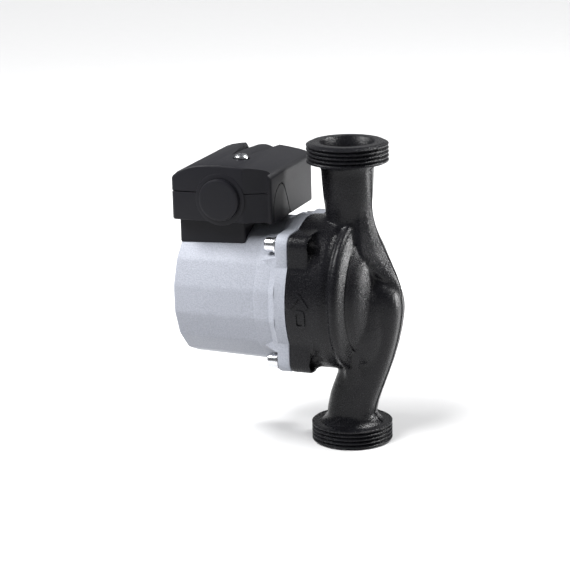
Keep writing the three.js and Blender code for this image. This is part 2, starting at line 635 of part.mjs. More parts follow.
function boxScrew(x) {
  const top = BOX_FLOOR_Z + 1.7;
  const head = turnedZ([[BOX_FLOOR_Z, 0], [BOX_FLOOR_Z, 3.4], [top, 3], [top, 0]], 14, x, 0);
  const shank = turnedZ(rod(MOTOR_Z + 39, BOX_FLOOR_Z + 0.8, 1.4), 12, x, 0);
  return union(head, shank);
}

BOX_SCREW_XS.forEach((x, i) => part(`box_screw_${i + 1}`, boxScrew(x), steel()));

part('lead_grommet', turnedZ([
  [BOX_Z0 - 6, 4.4], [BOX_Z0 - 6, 6], [BOX_Z0 - 1.2, 7.7], [BOX_Z0 + 2.2, 7.7], [BOX_Z0 + 2.6, 6.4],
  [BOX_Z0 + 2.6, 4.4], [BOX_Z0 - 6, 4.4]], SMALL_ROUND, LEAD_X, 0), blackRubber());

// ---------------------------------------------------------------- speed switch
function switchBody() {
  const body = block(SWITCH_X + BOX_WALL + 0.2, SWITCH_X + 15, SWITCH_Y - 9, SWITCH_Y + 9, SWITCH_Z - 4,
    SWITCH_Z + 9);
  return cut(body, turnedX(rod(SWITCH_X, SWITCH_X + 12, 4.9), SMALL_ROUND, SWITCH_Y, SWITCH_Z));
}

function speedKnob() {
  const skirt = turnedX([
    [SWITCH_X - 4.6, 0], [SWITCH_X - 4.6, 8.2], [SWITCH_X - 3.8, 9], [SWITCH_X - 0.4, 9], [SWITCH_X - 0.4, 4.6],
    [SWITCH_X + 11, 4.6], [SWITCH_X + 11, 0]], 24, SWITCH_Y, SWITCH_Z);
  return cut(skirt, block(SWITCH_X - 6, SWITCH_X - 3, SWITCH_Y - 6, SWITCH_Y + 6, SWITCH_Z - 0.9, SWITCH_Z + 0.9));
}

part('speed_switch_body', switchBody(), greyPlastic());
part('speed_knob', speedKnob(), greyPlastic());

export default group;
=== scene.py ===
"""Heating circulator pump: cast volute casing, faceted motor housing and terminal box."""

import json
import math

import bmesh
import bpy
from bpy.props import FloatProperty, FloatVectorProperty, PointerProperty
from mathutils import Matrix, Vector


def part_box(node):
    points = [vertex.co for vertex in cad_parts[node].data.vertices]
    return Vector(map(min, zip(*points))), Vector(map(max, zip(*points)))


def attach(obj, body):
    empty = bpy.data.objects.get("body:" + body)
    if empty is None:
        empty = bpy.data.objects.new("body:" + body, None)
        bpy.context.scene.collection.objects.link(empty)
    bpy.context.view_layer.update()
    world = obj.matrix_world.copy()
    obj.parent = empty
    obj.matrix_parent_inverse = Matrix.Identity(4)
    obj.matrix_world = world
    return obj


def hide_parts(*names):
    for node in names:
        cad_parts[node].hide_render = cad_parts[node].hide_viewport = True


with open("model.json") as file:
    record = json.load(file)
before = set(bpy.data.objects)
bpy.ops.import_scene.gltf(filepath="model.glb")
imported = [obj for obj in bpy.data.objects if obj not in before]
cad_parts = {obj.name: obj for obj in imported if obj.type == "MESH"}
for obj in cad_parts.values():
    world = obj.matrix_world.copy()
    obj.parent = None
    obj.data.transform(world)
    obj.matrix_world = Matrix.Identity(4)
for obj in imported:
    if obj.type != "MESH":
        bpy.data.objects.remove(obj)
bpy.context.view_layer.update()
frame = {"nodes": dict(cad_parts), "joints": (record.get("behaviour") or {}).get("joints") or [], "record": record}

bl_info = {
    "name": "Circulator Pump",
    "version": (1, 0, 0),
    "blender": (4, 5, 0),
    "location": "View3D > Sidebar > Pump",
    "description": "Builds the visible pieces of a heating circulator pump around its CAD frame",
    "category": "Add Mesh",
}

# ------------------------------------------------------------------ places from the frame
MM = 0.001
PUMP = "pump_body"


def box_mm(node):
    """Lowest and highest corner of a CAD node in millimetres."""
    low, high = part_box(node)
    return low / MM, high / MM


def joint_mm(name):
    """A joint's point in millimetres."""
    joint = next(j for j in frame["joints"] if j["name"] == name)
    return Vector(joint["pos_m"]) / MM


CASING_LOW, CASING_HIGH = box_mm("volute_casing")
BASE_LOW, BASE_HIGH = box_mm("terminal_box_base")
COVER_LOW, COVER_HIGH = box_mm("terminal_box_cover")
BLANK_LOW, BLANK_HIGH = box_mm("cable_blanking_plug")
SCREW_LOW, SCREW_HIGH = box_mm("cover_screw")

MOTOR_Z = joint_mm("rotor_spin").z
JOINT_X = CASING_LOW.x
FACE_TO_FACE = CASING_HIGH.z
HOUSING_END_X = box_mm("motor_housing")[0].x
MOTOR_AXIS = (0, 0, MOTOR_Z)
PIPE_AXIS = (0, 0, 0)

LUG_BACK_X = -11.5
FLANGE_HALF_Y = 39.0
FLANGE_HALF_Z = 41.0
LUG_HOLE_Y = 34.0
LUG_HOLE_Z = 34.5
LUG_SCREW_END_X = LUG_BACK_X - 4.2
THREAD_PITCH = 2.31
THREAD_TURNS = 4
SEAM_HALF_WIDTH = 0.4
ROUND_SIDES = 96
PIPE_SIDES = 64
FINE_SIDES = 128
HOUSING_SIDES = 16
MOTOR_FLANGE_X = -31.5
BOX_HALF_Y = BASE_HIGH.y
BOX_GAP = 0.3  # between the base and the lid
BOX_SPLIT_Z = COVER_LOW.z - BOX_GAP
SHELF_Z = 136.0
END_PLATE_THICKNESS = 1.9
END_PLATE_X = BASE_HIGH.x - END_PLATE_THICKNESS
NEAR_WALL = 7.2  # holds the scooped pocket
PAST_BOX = 40
SADDLE_X0, SADDLE_X1 = -95.0, -54.0
SADDLE_HALF_Y = 27.0
ENTRY_X = (BLANK_LOW.x + BLANK_HIGH.x) / 2
ENTRY_Z = (BLANK_LOW.z + BLANK_HIGH.z) / 2
ENTRY = (ENTRY_X, 0, ENTRY_Z)
LEAD_HOLE = (-76, 0, 0)
SCREW_SHIFT = 1.2  # the head stands this much nearer the casing than the CAD screw
SCREW_RISE = 1.5  # and this much higher, on the crowned lid
COVER_SCREW = ((SCREW_LOW.x + SCREW_HIGH.x) / 2 + SCREW_SHIFT, (SCREW_LOW.y + SCREW_HIGH.y) / 2, 0)
SWITCH = joint_mm("speed_select")


# ------------------------------------------------------------------ settings a user may change
def length(name, description, value):
    """A length given in millimetres and kept in metres."""
    return FloatProperty(
        name=name, description=description, default=value * MM, min=0.0, precision=5,
        subtype="DISTANCE", unit="LENGTH")


def colour(name, description, value):
    """A linear colour."""
    return FloatVectorProperty(
        name=name, description=description, default=value, min=0.0, max=1.0, size=3, subtype="COLOR")


def share(name, description, value):
    """A share from 0 to 1."""
    return FloatProperty(
        name=name, description=description, default=value, min=0.0, max=1.0, subtype="FACTOR")


class PumpCasingSettings(bpy.types.PropertyGroup):
    """Sizes of the cast casing."""

    drum_radius: length("Drum radius", "Radius of the round chamber", 45.0)
    flange_corner: length("Flange corner", "Radius of the square flange's corners", 7.0)
    pipe_half: length("Inlet pipe half width", "Half the width of the inlet pipe's square section", 13.6)
    pipe_corner: length("Inlet pipe corner", "Corner radius of the inlet pipe's section", 9.0)
    waterway: length("Waterway radius", "Radius of the bore at the inlet", 11.4)
    thread_crest: length("Thread radius", "Outer radius of the port threads", 23.9)
    thread_root: length("Thread root radius", "Radius at the bottom of the port threads", 22.5)
    skin: length("Skin step", "Finest step of the cast skin, which softens its inner corners", 0.7)
    seam: length("Parting line", "Height of the casting's parting line", 0.45)


class PumpMotorSettings(bpy.types.PropertyGroup):
    """Sizes of the motor."""

    end_radius: length("End radius", "Radius over the corners at the motor's free end", 41.5)
    flange_radius: length("Flange radius", "Radius over the corners beside the flange", 43.2)
    facet_round: length("Facet rounding", "Rounding between the sixteen facets", 1.6)
    socket: length("Screw socket", "Radius of the flange screws' sockets", 2.5)


class PumpBoxSettings(bpy.types.PropertyGroup):
    """Sizes of the terminal box."""

    wall: length("Wall", "Thickness of the box walls", 2.4)
    corner: length("Corner", "Radius of the upright corners", 2.6)
    top_round: length("Top rounding", "Rounding along the lid's long edges", 1.7)
    line: length("Line width", "Width of the knock-out's groove", 0.9)


class PumpFinishSettings(bpy.types.PropertyGroup):
    """Colours of the finishes."""

    paint: colour("Casing paint", "Paint of the iron casing", (0.0038, 0.0038, 0.0048))
    paint_fleck: colour("Paint fleck", "Bright specks where the paint is thin", (0.05, 0.05, 0.053))
    paint_rough: share("Paint roughness", "Roughness of the casing paint", 0.2)
    aluminium: colour("Aluminium", "Bare die-cast aluminium", (0.25, 0.262, 0.296))
    aluminium_metal: share("Aluminium metallic", "How metallic the cast skin looks", 0.12)
    plastic: colour("Box plastic", "Moulded plastic of the terminal box", (0.0062, 0.0062, 0.0082))
    knob: colour("Knob plastic", "Grey plastic of the knob and the inner parts", (0.33, 0.34, 0.35))
    steel: colour("Plated steel", "Screws", (0.78, 0.79, 0.82))
    stainless: colour("Stainless sheet", "Plate and can", (0.62, 0.62, 0.64))
    brass: colour("Brass", "Vent plug", (0.78, 0.6, 0.3))
    floor: colour("Floor", "Studio floor", (0.56, 0.56, 0.563))


class PumpStageSettings(bpy.types.PropertyGroup):
    """Camera and lights."""

    lens: FloatProperty(
        name="Lens", description="Focal length of the camera", default=138.1, min=20.0, unit="CAMERA")
    key: FloatProperty(name="Key light", description="Strength of the key light", default=5.8, min=0.0)
    fill: FloatProperty(
        name="Sky light", description="Strength of the light from above", default=0.2, min=0.0)
    surround: share("Surround", "Strength of the even light all round", 0.11)


GROUPS = (
    ("casing", "Casing", PumpCasingSettings),
    ("motor", "Motor", PumpMotorSettings),
    ("box", "Terminal box", PumpBoxSettings),
    ("finish", "Finishes", PumpFinishSettings),
    ("stage", "Stage", PumpStageSettings),
)


def picked(group):
    """One group of the scene's settings."""
    return getattr(bpy.context.scene, "pump_" + group)


def picked_mm(group, name):
    """A length from the settings in millimetres."""
    return getattr(picked(group), name) / MM


# ------------------------------------------------------------------ shader building
class Wire:
    """An output socket that can stand in arithmetic, as a number does."""

    def __init__(self, finish, socket):
        self.finish = finish
        self.socket = socket

    def _math(self, operation, first, second):
        return self.finish.node("Math", {"operation": operation}, {0: first, 1: second})

    def __add__(self, other):
        return self._math("ADD", self, other)

    def __radd__(self, other):
        return self._math("ADD", other, self)

    def __mul__(self, other):
        return self._math("MULTIPLY", self, other)

    def __rmul__(self, other):
        return self._math("MULTIPLY", other, self)


class Finish:
    """A material under construction: one Principled shader and the nodes that feed it."""

    def __init__(self, name):
        self.material = bpy.data.materials.new(name)
        self.material.use_nodes = True
        self.tree = self.material.node_tree
        self.shader = self.tree.nodes["Principled BSDF"]
        self.place = self.node("TexCoord", {}, {}, "Object")

    def node(self, kind, settings, sockets, output=None):
        """Adds a node, sets it up, feeds its sockets and returns one output."""
        made = self.tree.nodes.new("ShaderNode" + kind)
        for key, value in settings.items():
            if key == "stops":
                self._stops(made.color_ramp, value)
            else:
                setattr(made, key, value)
        for key, value in sockets.items():
            self.feed(made.inputs[key], value)
        chosen = made.outputs[output] if output is not None else made.outputs[0]
        return Wire(self, chosen)

    def _stops(self, ramp, stops):
        while len(ramp.elements) > 1:
            ramp.elements.remove(ramp.elements[-1])
        ramp.elements[0].position, ramp.elements[0].color = stops[0][0], grey(stops[0][1])
        for position, value in stops[1:]:
            ramp.elements.new(position).color = grey(value)

    def feed(self, socket, value):
        """Links a wire to a socket, or sets a plain value on it."""
        if isinstance(value, Wire):
            self.tree.links.new(value.socket, socket)
        else:
            socket.default_value = value

    def set(self, **values):
        """Sets or feeds sockets of the Principled shader, by name with underscores for spaces."""
        for key, value in values.items():
            self.feed(self.shader.inputs[key.replace("_", " ")], value)

    def noise(self, scale, detail=2.0, roughness=0.5):
        """Noise from 0 to 1 with features of about one metre over scale."""
        sockets = {"Vector": self.place, "Scale": scale, "Detail": detail, "Roughness": roughness}
        return self.node("TexNoise", {}, sockets)

    def ramp(self, value, stops):
        """A grey ramp."""
        return self.node("ValToRGB", {"stops": stops}, {"Fac": value})

    def mix(self, factor, first, second):
        """A colour between two colours."""
        return self.node("Mix", {"data_type": "RGBA"}, {"Factor": factor, 6: first, 7: second}, 2)

    def bump(self, height, strength, distance, normal=None):
        """A Bump node's normal."""
        sockets = {"Height": height, "Strength": strength, "Distance": distance}
        if normal is not None:
            sockets["Normal"] = normal
        return self.node("Bump", {}, sockets)


def grey(value):
    """A grey colour, or the colour itself when given one."""
    if isinstance(value, (int, float)):
        return (value, value, value, 1.0)
    return tuple(value) + (1.0,) if len(value) == 3 else tuple(value)


def scaled(shade, factor):
    """A colour made darker or lighter."""
    return tuple(factor * c for c in shade)


# ------------------------------------------------------------------ finishes
def painted_iron():
    """Black satin paint over the grain of cast iron."""
    finish = Finish("black_painted_iron")
    grain = finish.noise(1150.0, 3.0, 0.6)
    skin = finish.noise(650.0, 2.0, 0.5)
    drift = finish.noise(28.0, 2.0)
    fleck = finish.ramp(finish.noise(2300.0, 1.0), [(0.58, 0.0), (0.74, 1.0)])
    picks = picked("finish")
    base = finish.mix(drift, grey(scaled(picks.paint, 0.8)), grey(scaled(picks.paint, 1.25)))
    finish.set(
        Base_Color=finish.mix(fleck * 0.3, base, grey(tuple(picks.paint_fleck))),
        Roughness=picks.paint_rough + 0.05 * drift + 0.1 * grain,
        Normal=finish.bump(skin, 0.4, 0.0002, finish.bump(grain, 0.8, 0.0003)),
    )
    finish.shader.inputs["Specular IOR Level"].default_value = 0.18
    return finish.material


def cast_aluminium():
    """Bare die-cast aluminium with a fine matt grain."""
    finish = Finish("die_cast_aluminium")
    grain = finish.noise(1250.0, 3.0, 0.65)
    cloud = finish.noise(45.0, 3.0)
    sand = finish.ramp(grain, [(0.36, 0.0), (0.64, 1.0)])
    picks = picked("finish")
    finish.set(
        Base_Color=finish.mix(
            0.3 * cloud + 0.7 * sand,
            grey(scaled(picks.aluminium, 0.84)),
            grey(scaled(picks.aluminium, 1.16)),
        ),
        Metallic=picks.aluminium_metal,
        Roughness=0.42 + 0.14 * grain + 0.06 * cloud,
        Normal=finish.bump(grain, 0.7, 0.0004),
    )
    finish.shader.inputs["Specular IOR Level"].default_value = 0.3
    return finish.material


def moulded_plastic(name, shade, rough=0.5):
    """Moulded plastic with a fine spark-eroded texture."""
    finish = Finish(name)
    grain = finish.noise(1900.0, 2.0, 0.5)
    drift = finish.noise(30.0, 2.0)
    finish.set(
        Base_Color=finish.mix(drift, grey(scaled(shade, 0.9)), grey(scaled(shade, 1.12))),
        Roughness=rough - 0.04 + 0.08 * drift + 0.06 * grain,
        Normal=finish.bump(grain, 0.25, 0.00015),
    )
    finish.shader.inputs["Specular IOR Level"].default_value = 0.2
    return finish.material


def bright_metal(name, shade, rough, scratch=0.35):
    """Plated or turned metal with fine marks."""
    finish = Finish(name)
    marks = finish.noise(900.0, 4.0, 0.7)
    drift = finish.noise(120.0, 2.0)
    finish.set(
        Base_Color=finish.mix(drift, grey(scaled(shade, 0.85)), grey(shade)),
        Metallic=1.0,
        Roughness=rough + 0.12 * marks,
        Normal=finish.bump(marks, scratch, 0.0001),
    )
    return finish.material


def soft_rubber():
    """Matt black rubber."""
    finish = Finish("seal_rubber")
    grain = finish.noise(1300.0, 2.0)
    finish.set(
        Base_Color=finish.mix(grain, grey(0.012), grey(0.02)),
        Roughness=0.75 + 0.1 * grain,
        Normal=finish.bump(grain, 0.2, 0.0002),
    )
    return finish.material


def banded_metal(name, shade, rough, pitch):
    """Metal with fine bands across the motor axis, as stacked sheets or wound wire show."""
    finish = Finish(name)
    sockets = {"Vector": finish.place, "Scale": 1.0 / pitch, "Distortion": 0.4}
    bands = finish.node("TexWave", {"bands_direction": "X"}, sockets, 1)
    finish.set(
        Base_Color=finish.mix(bands, grey(scaled(shade, 0.6)), grey(shade)),
        Metallic=1.0,
        Roughness=rough + 0.1 * bands,
        Normal=finish.bump(bands, 0.5, 0.0002),
    )
    return finish.material


def studio_paper():
    """The pale floor."""
    finish = Finish("studio_paper")
    grain = finish.noise(60.0, 2.0)
    shade = tuple(picked("finish").floor)
    paper = finish.mix(grain, grey(scaled(shade, 0.97)), grey(shade))
    finish.set(Base_Color=paper, Roughness=0.9)
    return finish.material


FINISHES = {}


def finish_of(slot):
    """The finish of a material slot, made once."""
    picks = picked("finish")
    makers = {
        "black_iron": painted_iron,
        "cast_aluminium": cast_aluminium,
        "black_plastic": lambda: moulded_plastic("black_box_plastic", tuple(picks.plastic), 0.5),
        "grey_plastic": lambda: moulded_plastic("grey_plastic", tuple(picks.knob), 0.45),
        "black_rubber": soft_rubber,
        "steel": lambda: bright_metal("bright_plated_steel", tuple(picks.steel), 0.2),
        "stainless": lambda: bright_metal("stainless_sheet", tuple(picks.stainless), 0.3),
        "brass": lambda: bright_metal("turned_brass", tuple(picks.brass), 0.22),
        "copper": lambda: banded_metal("copper_winding", (0.72, 0.36, 0.2), 0.35, 0.004),
        "ceramic": lambda: moulded_plastic("ground_ceramic", (0.75, 0.72, 0.68), 0.25),
        "laminated_steel": lambda: banded_metal("stacked_sheet_steel", (0.4, 0.41, 0.43), 0.4, 0.004),
    }
    if slot not in FINISHES:
        FINISHES[slot] = makers[slot]()
    return FINISHES[slot]


# ------------------------------------------------------------------ mesh building, in millimetres
ALONG = {"X": Vector((1, 0, 0)), "Y": Vector((0, 1, 0)), "Z": Vector((0, 0, 1))}
OUTWARD = {"X": Vector((0, 0, 1)), "Y": Vector((0, 0, 1)), "Z": Vector((1, 0, 0))}
FLAT = {
    "X": lambda a, b, along: Vector((along, a, b)),
    "Y": lambda a, b, along: Vector((a, along, b)),
    "Z": lambda a, b, along: Vector((a, b, along)),
}


def turned(profile, axis, centre, sides=ROUND_SIDES, ring=False):
    """A round solid from (along, radius) points; a ring's profile closes on itself."""
    bm = bmesh.new()
    centre = Vector(centre)
    points = [bm.verts.new(centre + ALONG[axis] * a + OUTWARD[axis] * r) for a, r in profile]
    ends = points[1:] + points[:1] if ring else points[1:]
    edges = [bm.edges.new(pair) for pair in zip(points, ends)]
    bmesh.ops.spin(
        bm, geom=points + edges, cent=centre, axis=ALONG[axis], dvec=(0, 0, 0),
        angle=2 * math.pi, steps=sides, use_merge=True, use_duplicate=False,
    )
    bmesh.ops.remove_doubles(bm, verts=bm.verts, dist=1e-4)
    bmesh.ops.recalc_face_normals(bm, faces=bm.faces)
    return bm


def rod(start, end, radius, axis, centre, sides):
    """A plain round bar."""
    return turned([(start, 0), (start, radius), (end, radius), (end, 0)], axis, centre, sides)


def flat_face(bm, outline, axis, along):
    """One face from an outline drawn across an axis."""
    return bm.faces.new([bm.verts.new(FLAT[axis](a, b, along)) for a, b in outline])


def pulled(outline, axis, start, end, edge=0.0, edge_steps=2):
    """An outline pulled along an axis, with its rims rounded by edge."""
    bm = bmesh.new()
    face = flat_face(bm, outline, axis, start)
    made = bmesh.ops.extrude_face_region(bm, geom=[face])
    verts = [v for v in made["geom"] if isinstance(v, bmesh.types.BMVert)]
    bmesh.ops.translate(bm, verts=verts, vec=ALONG[axis] * (end - start))
    bmesh.ops.recalc_face_normals(bm, faces=bm.faces)
    if edge:
        caps = [f for f in bm.faces if abs(f.normal.dot(ALONG[axis])) > 0.99]
        rims = {e for f in caps for e in f.edges}
        round_edges(bm, rims, edge, edge_steps)
    return bm


def round_edges(bm, edges, radius, steps=2):
    """Rounds edges of a bmesh."""
    bmesh.ops.bevel(
        bm, geom=list(edges), offset=radius, offset_type="OFFSET", segments=steps, profile=0.5,
        affect="EDGES", clamp_overlap=True, material=-1,
    )


def arc_points(ca, cb, radius, start, end, steps):
    """Points on an arc, angles in degrees."""
    angles = [math.radians(start + (end - start) * i / steps) for i in range(steps + 1)]
    return [(ca + radius * math.cos(angle), cb + radius * math.sin(angle)) for angle in angles]


def rounded_outline(a0, b0, a1, b1, radius, steps=6):
    """A rectangle's outline with round corners."""
    outline = []
    for ca, cb, start in ((a1 - radius, b0 + radius, -90), (a1 - radius, b1 - radius, 0),
                          (a0 + radius, b1 - radius, 90), (a0 + radius, b0 + radius, 180)):
        outline += arc_points(ca, cb, radius, start, start + 90, steps)
    return outline


def swept(outline, frames):
    """A section carried through a list of matrices; the section lies in the matrices' XY plane."""
    bm = bmesh.new()
    face = flat_face(bm, outline, "Z", 0.0)
    bmesh.ops.transform(bm, matrix=frames[0], verts=bm.verts)
    for before, after in zip(frames, frames[1:]):
        made = bmesh.ops.extrude_face_region(bm, geom=[face])
        if before is not frames[0]:
            bmesh.ops.delete(bm, geom=[face], context="FACES_ONLY")
        step = [v for v in made["geom"] if isinstance(v, bmesh.types.BMVert)]
        face = next(f for f in made["geom"] if isinstance(f, bmesh.types.BMFace))
        bmesh.ops.transform(bm, matrix=after @ before.inverted(), verts=step)
    bmesh.ops.recalc_face_normals(bm, faces=bm.faces)
    return bm


def gathered(*solids):
    """Several bmeshes in one."""
    whole = bmesh.new()
    for solid in solids:
        mesh = bpy.data.meshes.new("part")
        solid.to_mesh(mesh)
        solid.free()
        whole.from_mesh(mesh)
        bpy.data.meshes.remove(mesh)
    return whole


def placed(bm, name):
    """A scene object in metres from a bmesh in millimetres."""
    bmesh.ops.scale(bm, vec=(MM, MM, MM), verts=bm.verts)
    mesh = bpy.data.meshes.new(name)
    bm.to_mesh(mesh)
    bm.free()
    thing = bpy.data.objects.new(name, mesh)
    bpy.context.scene.collection.objects.link(thing)
    return thing


def taken(thing):
    """Turns a work object back into a bmesh in millimetres."""
    bm = bmesh.new()
    bm.from_mesh(thing.data)
    bmesh.ops.scale(bm, vec=(1 / MM, 1 / MM, 1 / MM), verts=bm.verts)
    mesh = thing.data
    bpy.data.objects.remove(thing)
    bpy.data.meshes.remove(mesh)
    return bm


def applied(thing):
    """Bakes an object's modifiers into its mesh."""
    graph = bpy.context.evaluated_depsgraph_get()
    mesh = bpy.data.meshes.new_from_object(thing.evaluated_get(graph))
    old = thing.data
    thing.modifiers.clear()
    thing.data = mesh
    bpy.data.meshes.remove(old)
    return thing


def boolean(thing, solids, operation):
    """Joins solids to an object, or cuts or keeps them, one after another."""
    for solid in solids:
        tool = placed(solid, "tool")
        modifier = thing.modifiers.new(operation, "BOOLEAN")
        modifier.operation = operation
        modifier.solver = "MANIFOLD"
        modifier.object = tool
        applied(thing)
        mesh = tool.data
        bpy.data.objects.remove(tool)
        bpy.data.meshes.remove(mesh)
    return thing


def cast_skin(thing, voxel, passes, near):
    """Runs overlapping solids into one skin and softens it, some regions more than the rest."""
    modifier = thing.modifiers.new("skin", "REMESH")
    modifier.mode = "VOXEL"
    modifier.voxel_size = voxel * MM
    applied(thing)
    bm = bmesh.new()
    bm.from_mesh(thing.data)
    for inside, count in [(lambda point: True, passes), *near]:
        chosen = [v for v in bm.verts if inside(v.co / MM)]
        for _ in range(count):
            bmesh.ops.smooth_vert(
                bm, verts=chosen, factor=0.5, use_axis_x=True, use_axis_y=True, use_axis_z=True)
    bm.to_mesh(thing.data)
    bm.free()
    return thing


def finished(thing, body, slot, *nodes, sharp=35.0):
    """Shades a piece, gives it its finish and hangs it on its body."""
    thing.data.materials.clear()
    thing.data.materials.append(finish_of(slot))
    thing.data.polygons.foreach_set("use_smooth", [True] * len(thing.data.polygons))
    thing.data.set_sharp_from_angle(angle=math.radians(sharp))
    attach(thing, body)
    if nodes:
        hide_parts(*nodes)
    return thing


# ------------------------------------------------------------------ the casing
CORNERS = [(-1, 1), (1, 1), (-1, -1), (1, -1)]


def pipe_frames():
    """Frames along the inlet pipe: up from the port, outward, and over into the hub."""
    bend_x, bend_z, turn = 18.4, 84, 6.2
    route = [(0.0, 6), (0.0, 12), (0.4, 19), (2.0, 26.5), (4.8, 34.5), (8.5, 44), (12.2, 54),
             (15.2, 64), (17.2, 73), (18.2, 80), (bend_x, bend_z)]
    route += arc_points(bend_x - turn, bend_z, turn, 0, 90, 4)[1:]
    route += [(4, bend_z + turn)]
    frames = []
    for i, (x, z) in enumerate(route):
        before, after = route[max(i - 1, 0)], route[min(i + 1, len(route) - 1)]
        ahead = Vector((after[0] - before[0], 0, after[1] - before[1])).normalized()
        side = Vector((0, 1, 0))
        out = side.cross(ahead)
        turned_to = Matrix((out, side, ahead)).transposed().to_4x4()
        frames.append(Matrix.Translation((x, 0, z)) @ turned_to)
    return frames


def drum():
    """The round chamber with its beaded rim and domed back."""
    r = picked_mm("casing", "drum_radius")
    side = [(JOINT_X, 0), (JOINT_X, r), (-3.6, r), (-1.8, r - 0.4), (-0.2, r - 1.8), (1.0, r - 2.1)]
    bead = [(2.4, r - 0.6), (4.0, r - 0.1), (5.6, r - 0.6), (6.9, r - 2.4), (7.7, r - 4.6)]
    rim = [(8.3, 38.2), (8.9, 36.4), (9.6, 35.2), (10.8, 34.2)]
    dome = [(13.0, 32.4), (15.2, 29.0), (16.8, 25), (17.8, 19), (18.2, 10), (18.3, 0)]
    return turned(side + bead + rim + dome, "X", MOTOR_AXIS)


def outlet_pipe():
    """The upper pipe, wider at the port."""
    profile = [(116, 0), (116, 12.8), (137, 13.0), (142, 13.7), (147, 14.3), (156, 15.0), (163, 15.4),
               (166.4, 16.2), (168.2, 18.2), (168.6, 20), (170, 20), (170, 0)]
    return turned(profile, "Z", PIPE_AXIS, PIPE_SIDES)


def hull(points):
    """The tight skin round some points."""
    bm = bmesh.new()
    for point in points:
        bm.verts.new(point)
    bmesh.ops.convex_hull(bm, input=bm.verts)
    bmesh.ops.recalc_face_normals(bm, faces=bm.faces)
    return bm


WEB_SECTIONS = (  # height, edge line's x, half width there, crest's x
    (163, 11.2, 10.0, 14.2), (150, 10.6, 10.0, 14.1), (143, 9.9, 10.0, 14.1), (137, 9.6, 10.2, 14.7),
    (130, 10.6, 12.0, 16.4), (124, 11.9, 14.4, 18.6), (118.6, 13.6, 17.2, 21.0), (117, 14.4, 17.4, 21.7),
    (112, 17.2, 15.4, 24.0), (107, 20.6, 12.6, 26.5), (102, 24.4, 9.2, 28.9), (96, 28.6, 5.0, 31.4),
    (90, 30.0, 3.0, 32.2))


def web_section(height, edge_x, half, crest_x):
    """One level of the web: a broad crowned face that ends in an edge line on each side."""
    middle = edge_x + 0.66 * (crest_x - edge_x)
    side = [(-4, half - 2.5), (edge_x - 0.4, half), (edge_x, half - 0.2), (middle, half * 0.5),
            (crest_x, half * 0.08)]
    return [Vector((x, sign * y, height)) for sign in (-1, 1) for x, y in side]


def outlet_web():
    """The broad rib that runs from the outlet pipe down to the inlet bend."""
    levels = [web_section(*row) for row in WEB_SECTIONS]
    return gathered(*[hull(upper + lower) for upper, lower in zip(levels, levels[1:])])


LOBE_OUTLINE = (
    (0, 102.6), (7, 101.4), (12.5, 98.8), (17.5, 95), (20.6, 90), (22, 84), (22.6, 78),
    (23.0, 72), (22.2, 66), (20.0, 60), (16.6, 54), (11.5, 49), (0, 46))
LOBE_MIDDLE = 78.0


def inlet_lobe():
    """The broad foot that carries the inlet bend on the back of the drum."""
    points = []
    for x, spread in ((9.0, 1.05), (15.0, 1.0), (18.5, 0.9), (21.5, 0.76), (24.0, 0.6)):
        for y, z in LOBE_OUTLINE:
            for sign in (-1, 1):
                points.append((x, sign * y * spread, LOBE_MIDDLE + (z - LOBE_MIDDLE) * (0.4 + 0.6 * spread)))
    return hull(points)


def lobe_skirt():
    """Fills the corner between the drum's lower rim and the flank of the inlet pipe."""
    return hull([(x, sign * y, z) for x in (1.0, 10.0) for sign in (-1, 1)
                 for y, z in ((21.5, 62), (19.0, 54), (15.6, 46.5), (13.4, 38))])


def inlet_pipe():
    """The lower pipe, a rounded square section that bends into the hub."""
    half = picked_mm("casing", "pipe_half")
    section = rounded_outline(-half, -half, half, half, picked_mm("casing", "pipe_corner"), 6)
    return swept(section, pipe_frames())


def inlet_foot():
    """The flare where the inlet pipe stands on its threaded collar."""
    flare = [(8, 0), (8, 19.5), (11.6, 19.5), (12.2, 18), (13.6, 16.4), (16, 15.2), (16, 0)]
    return turned(flare, "Z", PIPE_AXIS, PIPE_SIDES)


def flange_outline():
    """The square flange of the casing and of the motor."""
    return rounded_outline(
        -FLANGE_HALF_Y, MOTOR_Z - FLANGE_HALF_Z, FLANGE_HALF_Y, MOTOR_Z + FLANGE_HALF_Z,
        picked_mm("casing", "flange_corner"), 6)


def lug_centres():
    """Where the axes of the four lug holes cross the middle plane of the pipes."""
    return [(0, sy * LUG_HOLE_Y, MOTOR_Z + sz * LUG_HOLE_Z) for sy, sz in CORNERS]


def water_ways():
    """The bores at both ports and the tapped holes of the lugs."""
    bore = picked_mm("casing", "waterway")
    inlet = [(-1, 0), (-1, 12.6), (10, 12.4), (16, bore), (30, 10), (30, 0)]
    top = FACE_TO_FACE
    outlet = [(122, 0), (122, 9), (126, 10.6), (150, 11.2), (162, 12.4), (top + 1, 12.6), (top + 1, 0)]
    bores = [turned(profile, "Z", PIPE_AXIS, PIPE_SIDES) for profile in (inlet, outlet)]
    back = LUG_BACK_X
    hole = [(back - 10, 0), (back - 10, 3.1), (back - 5, 3.1), (back - 4.6, 4.5),
            (back - 0.6, 4.5), (back + 0.3, 5.2), (back + 5, 5.2), (back + 5, 0)]
    return bores + [turned(hole, "X", centre, 32) for centre in lug_centres()]


